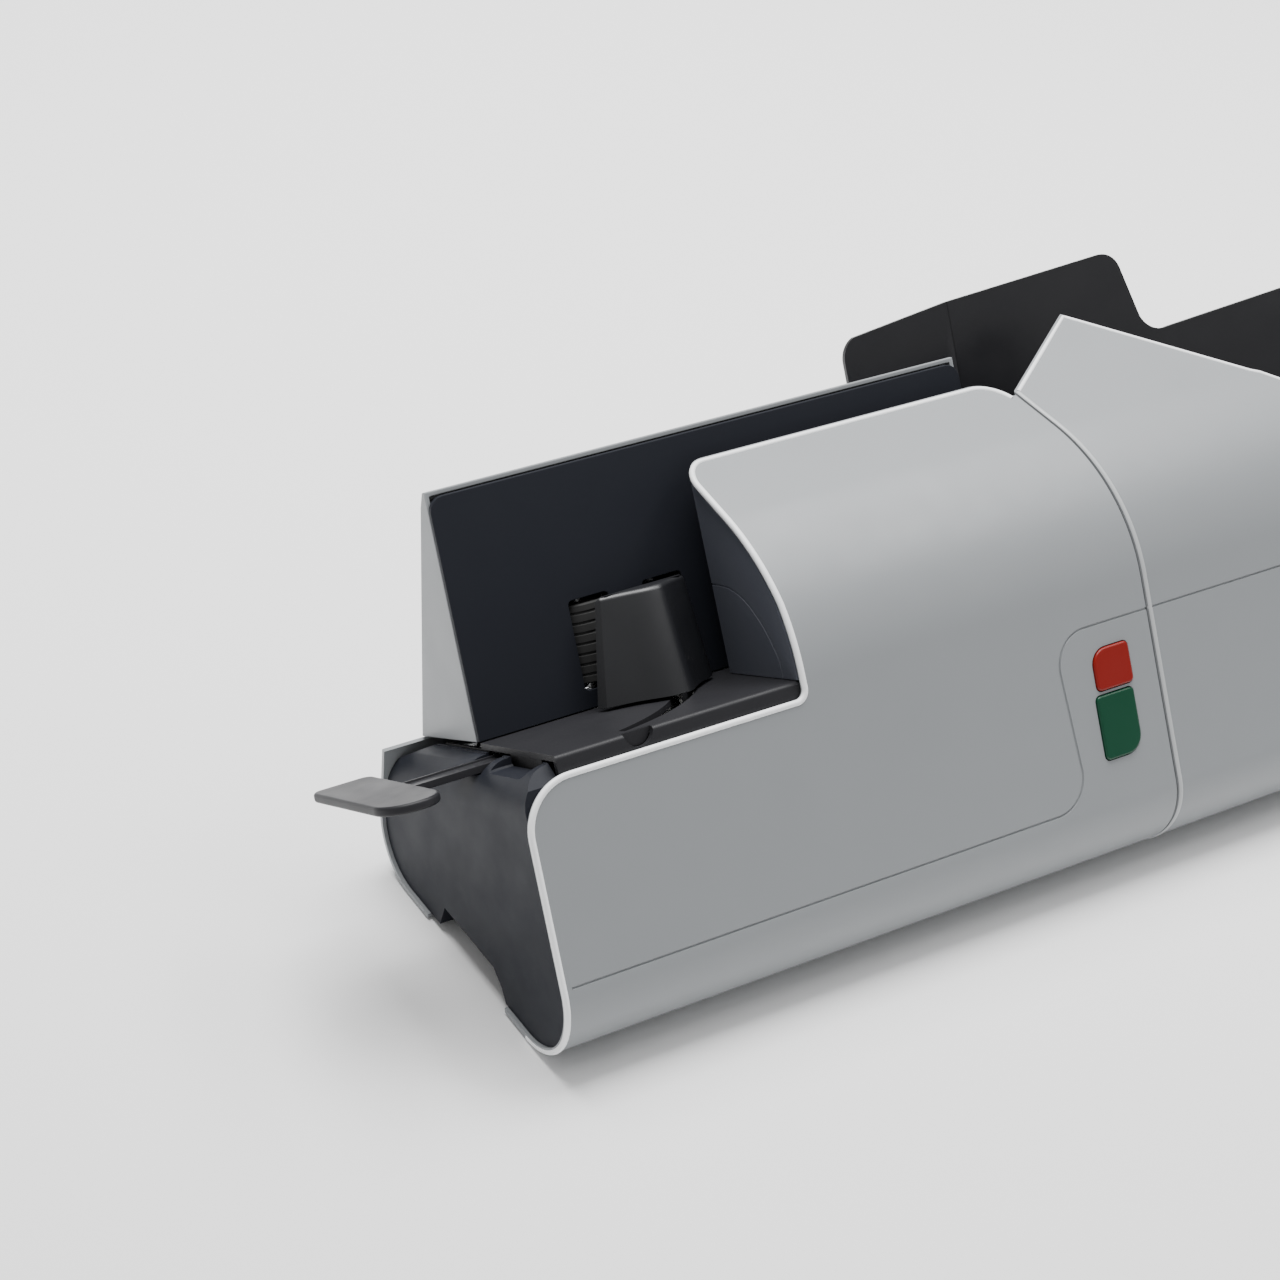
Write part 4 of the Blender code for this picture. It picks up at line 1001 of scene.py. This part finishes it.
# ---------------------------------------------------------------- stacker, rear and inside
@dataclass
class StackerAndRear:
    """The tall wall, the rear cover, the feet, the rollers, and the rounded copies of frame nodes."""

    bench: Bench
    wall_y: float = 59.5
    wall_thick: float = 2.5
    driven_y: float = 26.0
    driven_r: float = 15.0
    idle_y: float = -0.4
    idle_r: float = 11.0

    def make_wall(self) -> None:
        """Tall black wall with its stepped top, fold and ribs."""
        bench = self.bench
        outline = [(359.0, 0.4), (754.0, 0.4), *arc((742.0, 108.0), 12.0, 0, 85, 10), (640.0, 117.0),
                   *arc((541.5, 129.5), 18.0, 280, 205, 12), *arc((503.0, 149.0), 14.0, 15, 88, 12),
                   (390.0, 157.5), *arc((329.0, 137.5), 14.0, 112, 180, 10),
                   *arc((325.0, 110.0), 10.0, 180, 270, 8), (359.0, 100.0)]
        wall = bench.plate("stacker_wall_moulding", outline, self.wall_y, self.wall_y + self.wall_thick,
                           Plane.FACE)
        fold = [(390.0, self.wall_y - 0.3, z) for z in (70.0, 110.0, FAR)]
        bench.cut(wall, bench.tube("fold", fold, 0.7))
        for x in (430.0, 560.0, 690.0):
            rib = [(self.wall_y + 1.0, 0.4), (74.0, 0.4), (self.wall_y + 1.0, 64.0)]
            bench.weld_on(wall, bench.plate("rib", rib, x, x + 3.0, Plane.SIDE))
        bench.round_off(wall, 0.7, 3)
        bench.hand_over(wall, Finish.BLACK, "machine", "stacker_back_wall", place=LAYOUT.mail())

    def rear_line(self, inset: float) -> list[Point]:
        """Side view of the rear cover in the table frame, some way inside its surface."""
        return [(14.0, 1.2 + inset), *arc(LAYOUT.rear_curl, 34.0 - inset, 270, 360, 20), (70.0 - inset, 75.0)]

    def make_rear_cover(self) -> None:
        """Lower rear cover, with vents and openings for the inlet and the switch."""
        bench = self.bench
        wall = self.rear_line(0.0) + self.rear_line(2.5)[::-1]
        cover = bench.plate("rear_cover_moulding", wall, 0.4, LAYOUT.length - 0.4, Plane.SIDE)
        openings = [(670.0, 698.0, 38.0, 58.0), (706.0, 727.0, 38.0, 58.0)]
        openings += [(560.0 + 10.0 * i, 564.0 + 10.0 * i, 36.0, 62.0) for i in range(9)]
        for left, right, low, high in openings:
            bench.cut(cover, bench.brick("opening", (left, right), (60.0, 90.0), (low, high)))
        bench.round_off(cover, 0.5, 2)
        bench.hand_over(cover, Finish.COVER, "machine", "rear_cover", place=LAYOUT.table())

    def make_feet(self) -> None:
        """Ribbed rubber feet."""
        bench = self.bench
        profile = [(0.0, 18.6), (7.0, 18.6), (7.0, 10.0), (10.0, 9.0), (10.0, 7.0), (9.2, 6.4), (10.0, 5.8),
                   (10.0, 4.0), (9.2, 3.4), (10.0, 2.8), (10.0, 1.0), (9.0, 0.0), (6.5, 0.0), (6.0, 0.8),
                   (0.0, 0.8)]
        for side, x in (("left", 60.0), ("right", LAYOUT.length - 60.0)):
            for end, y in (("front", -54.0), ("back", 0.0)):
                foot = bench.turned(f"{end}_{side}_foot", profile, (x, y, 0.0))
                bench.hand_over(foot, Finish.RUBBER, "machine", f"foot_{end}_{side}", place=LAYOUT.table())

    def tyre(self, name: str, radius: float, low: float, high: float, hub: float,
             centre: Triple) -> bpy.types.Object:
        """A rubber tyre with grooves round it."""
        grooves = 7
        pitch = (high - low - 4.0) / grooves
        profile = [(hub, low), (radius - 0.6, low), (radius, low + 0.8)]
        for i in range(grooves):
            start = low + 2.0 + pitch * (i + 0.35)
            profile += [(radius, start), (radius - 0.7, start + 0.5), (radius - 0.7, start + 1.3),
                        (radius, start + 1.8)]
        profile += [(radius, high - 0.8), (radius - 0.6, high), (hub, high)]
        return self.bench.turned(name, profile, centre, 40, ring=True)

    def make_rollers(self) -> None:
        """The six rubber tyres on their shafts."""
        places = {"feed_roller_1": 102.0, "feed_roller_2": 147.0, "separation_roller": 192.0,
                  "transport_roller": 312.0}
        for node, x in places.items():
            tyre = self.tyre(node + "_tyre", self.driven_r, 13.0, 55.0, 4.0, (x, self.driven_y, 0.0))
            self.bench.hand_over(tyre, Finish.RUBBER, node, node, place=LAYOUT.mail(), smooth=35.0)
        for body, x in (("separator", 192.0), ("pinch", 312.0)):
            tyre = self.tyre(body + "_tyre", self.idle_r, 16.0, 52.0, 3.4, (x, self.idle_y, 0.0))
            self.bench.hand_over(tyre, Finish.RUBBER, body, body + "_roller", place=LAYOUT.mail(),
                                 smooth=35.0)

    def make_copies(self) -> None:
        """Every other node that can be seen, with its edges rounded."""
        # The left frame takes the darkened zinc plate: painted shade.
        widths = {"feed_deck": (0.5, Finish.DECK), "stacker_deck": (0.5, Finish.DECK),
                  "rear_guide_wall": (0.5, Finish.CHARCOAL), "tower_cover": (0.6, Finish.COVER),
                  "wing_guide": (0.5, Finish.CHARCOAL),
                  "stacker_stop": (0.6, Finish.DECK), "base_plate": (0.4, Finish.ZINC),
                  "power_inlet": (0.4, Finish.BLACK), "switch_frame": (0.4, Finish.BLACK),
                  "power_rocker": (0.5, Finish.RED), "support_channel": (0.3, Finish.CHARCOAL),
                  "paddle_arm": (0.3, Finish.ZINC), "left_frame": (0.3, Finish.PAINTED),
                  "middle_frame": (0.3, Finish.ZINC), "right_frame": (0.3, Finish.ZINC)}
        for node, (width, finish) in widths.items():
            piece = self.bench.softened(node, width)
            self.bench.hand_over(piece, finish, self.bench.body_of[node], node)

    def make(self) -> None:
        """Make every piece of the stacker, the rear and the inside."""
        self.make_wall()
        self.make_rear_cover()
        self.make_feet()
        self.make_rollers()
        self.make_copies()


@dataclass
class Fixings:
    """Screws, inlet pins and what stands on the boards."""

    bench: Bench
    head_r: float = 3.2
    board_z: float = 31.6

    def screw(self) -> bpy.types.Object:
        """One pan-head screw at the origin, its head up, with a cross recess."""
        bench = self.bench
        r = self.head_r
        profile = [(0.0, 1.9), (r * 0.45, 1.8), (r * 0.8, 1.35), (r, 0.5), (r, 0.0), (1.5, 0.0), (1.5, -5.0),
                   (0.0, -5.4)]
        head = bench.turned("screw", profile, (0.0, 0.0, 0.0), 24)
        for x, y in ((1.8, 0.35), (0.35, 1.8)):
            bench.cut(head, bench.brick("recess", (-x, x), (-y, y), (0.7, 3.0)))
        bench.place(head, Matrix.Identity(4))
        return head

    def make_screws(self) -> None:
        """Copy the screw to each place, its head on the surface."""
        bench = self.bench
        model = self.screw()
        back = Matrix.Rotation(math.radians(-90.0), 4, "X")
        spots = [(LAYOUT.table() @ Matrix.Translation(Vector((x, 70.0, 64.0)) * MM) @ back, "rear")
                 for x in (30.0, 270.0, 510.0, 750.0)]
        spots += [(LAYOUT.table() @ Matrix.Translation(Vector((x, y, 19.0)) * MM)
                   @ Matrix.Rotation(math.pi, 4, "X"), "base")
                  for x in (40.0, 260.0, 500.0, 740.0) for y in (-78.0, 46.0)]
        for i, (place, where) in enumerate(spots):
            copy = bpy.data.objects.new(f"{where}_screw_{i + 1}", model.data.copy())
            bpy.context.scene.collection.objects.link(copy)
            bench.hand_over(copy, Finish.STEEL, place=place)
        bpy.data.objects.remove(model)

    def make_inlet_pins(self) -> None:
        """The three flat pins inside the mains inlet."""
        bench = self.bench
        for i, (x, z) in enumerate(((678.5, 47.0), (684.0, 50.0), (689.5, 47.0))):
            pin = bench.brick(f"inlet_pin_{i + 1}", (x - 1.0, x + 1.0), (57.0, 68.0), (z - 2.0, z + 2.0))
            bench.round_off(pin, 0.5, 2)
            bench.hand_over(pin, Finish.STEEL, place=LAYOUT.table())

    def make_board_parts(self) -> None:
        """Chips and capacitors on the main board."""
        bench = self.bench
        chips = [(440.0, -60.0, 14.0, 14.0), (470.0, -20.0, 20.0, 20.0), (510.0, -50.0, 10.0, 18.0),
                 (440.0, -10.0, 8.0, 12.0)]
        for i, (x, y, w, d) in enumerate(chips):
            chip = bench.brick(f"board_chip_{i + 1}", (x, x + w), (y, y + d), (self.board_z, 34.0))
            bench.round_off(chip, 0.4, 2)
            bench.hand_over(chip, Finish.BLACK, place=LAYOUT.table())
        profile = [(0.0, 12.4), (3.6, 12.4), (4.0, 12.0), (4.0, 2.2), (3.6, 1.8), (4.0, 1.4), (4.0, 0.0),
                   (0.0, 0.0)]
        for i, x in enumerate((500.0, 514.0, 528.0)):
            can = bench.turned(f"board_can_{i + 1}", profile, (x, -4.0, self.board_z), 28)
            bench.hand_over(can, Finish.ZINC, place=LAYOUT.table())

    def make(self) -> None:
        """Make every fixing."""
        self.make_screws()
        self.make_inlet_pins()
        self.make_board_parts()


def dress_remaining(bench: Bench, shown: set[str]) -> None:
    """Give the frame nodes that stay in view their finish.

    Args:
        bench: the bench with its finishes.
        shown: names of the nodes that nothing replaces.
    """
    for part in bench.frame["record"]["subparts"]:
        if part["node"] in shown:
            for slot in bench.frame["nodes"][part["node"]].material_slots:
                slot.material = bench.material(PLAIN[part["material_slot"]])


# ---------------------------------------------------------------- studio
@dataclass
class Studio:
    """Pale floor, soft light and the camera."""

    camera_at: Triple = (-0.9744, -1.0575, 1.0585)
    right: Triple = (0.8499, -0.5215, 0.0751)
    up: Triple = (0.2499, 0.5245, 0.8139)
    back: Triple = (-0.4639, -0.6730, 0.5761)
    lens: float = 85.8

    def make_floor(self) -> None:
        """A wide pale floor, faintly uneven."""
        bpy.ops.object.select_all(action="DESELECT")
        bpy.ops.mesh.primitive_plane_add(size=12.0, location=(0.0, 0.0, 0.0))
        floor = bpy.context.object
        floor.name = "studio_floor"
        wiring = Wiring("studio_floor_paint")
        wiring.paint(wiring.noise(0.7), (0.9, 0.9, 0.9), (0.93, 0.93, 0.93))
        wiring.shader.inputs["Roughness"].default_value = 0.8
        floor.data.materials.append(wiring.material)

    def make_light(self, name: str, at: Triple, size: Point, power: float) -> None:
        """One level soft box over the machine.

        Args:
            name: name of the light.
            at: its middle in metres.
            size: its width and depth in metres.
            power: its power in watts.
        """
        bpy.ops.object.light_add(type="AREA", location=at)
        light = bpy.context.object
        light.name = name
        light.data.shape = "RECTANGLE"
        light.data.size, light.data.size_y = size
        light.data.energy = power

    def make_camera(self) -> None:
        """The camera, set as the scene's."""
        axes = Matrix((self.right, self.up, self.back)).transposed().to_4x4()
        bpy.ops.object.camera_add()
        camera = bpy.context.object
        camera.matrix_world = Matrix.Translation(self.camera_at) @ axes
        camera.data.lens = self.lens
        camera.data.sensor_width = 36.0
        bpy.context.scene.camera = camera

    def make(self) -> None:
        """Set up the whole studio."""
        self.make_floor()
        world = bpy.data.worlds.new("studio_air")
        world.use_nodes = True
        world.node_tree.nodes["Background"].inputs["Color"].default_value = (1.0, 1.0, 1.0, 1.0)
        world.node_tree.nodes["Background"].inputs["Strength"].default_value = 0.5
        bpy.context.scene.world = world
        self.make_light("soft_box_behind", (-0.1, 0.8, 2.3), (1.6, 1.6), 115.0)
        self.make_light("soft_box_right", (1.3, 0.2, 2.3), (0.9, 2.2), 50.0)
        self.make_camera()


def main() -> None:
    """Build the looks around the loaded frame."""
    logging.basicConfig(level=logging.INFO, format="%(message)s")
    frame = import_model()
    Studio().make()
    bench = Bench(frame)
    FrontCovers(bench).make()
    FeedSide(bench).make()
    StackerAndRear(bench).make()
    Fixings(bench).make()
    replaced = {node for piece in bpy.data.objects for node in piece.get("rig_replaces", ())}
    dress_remaining(bench, set(frame["nodes"]) - replaced)
    bench.clear()


if __name__ == "__main__":
    main()
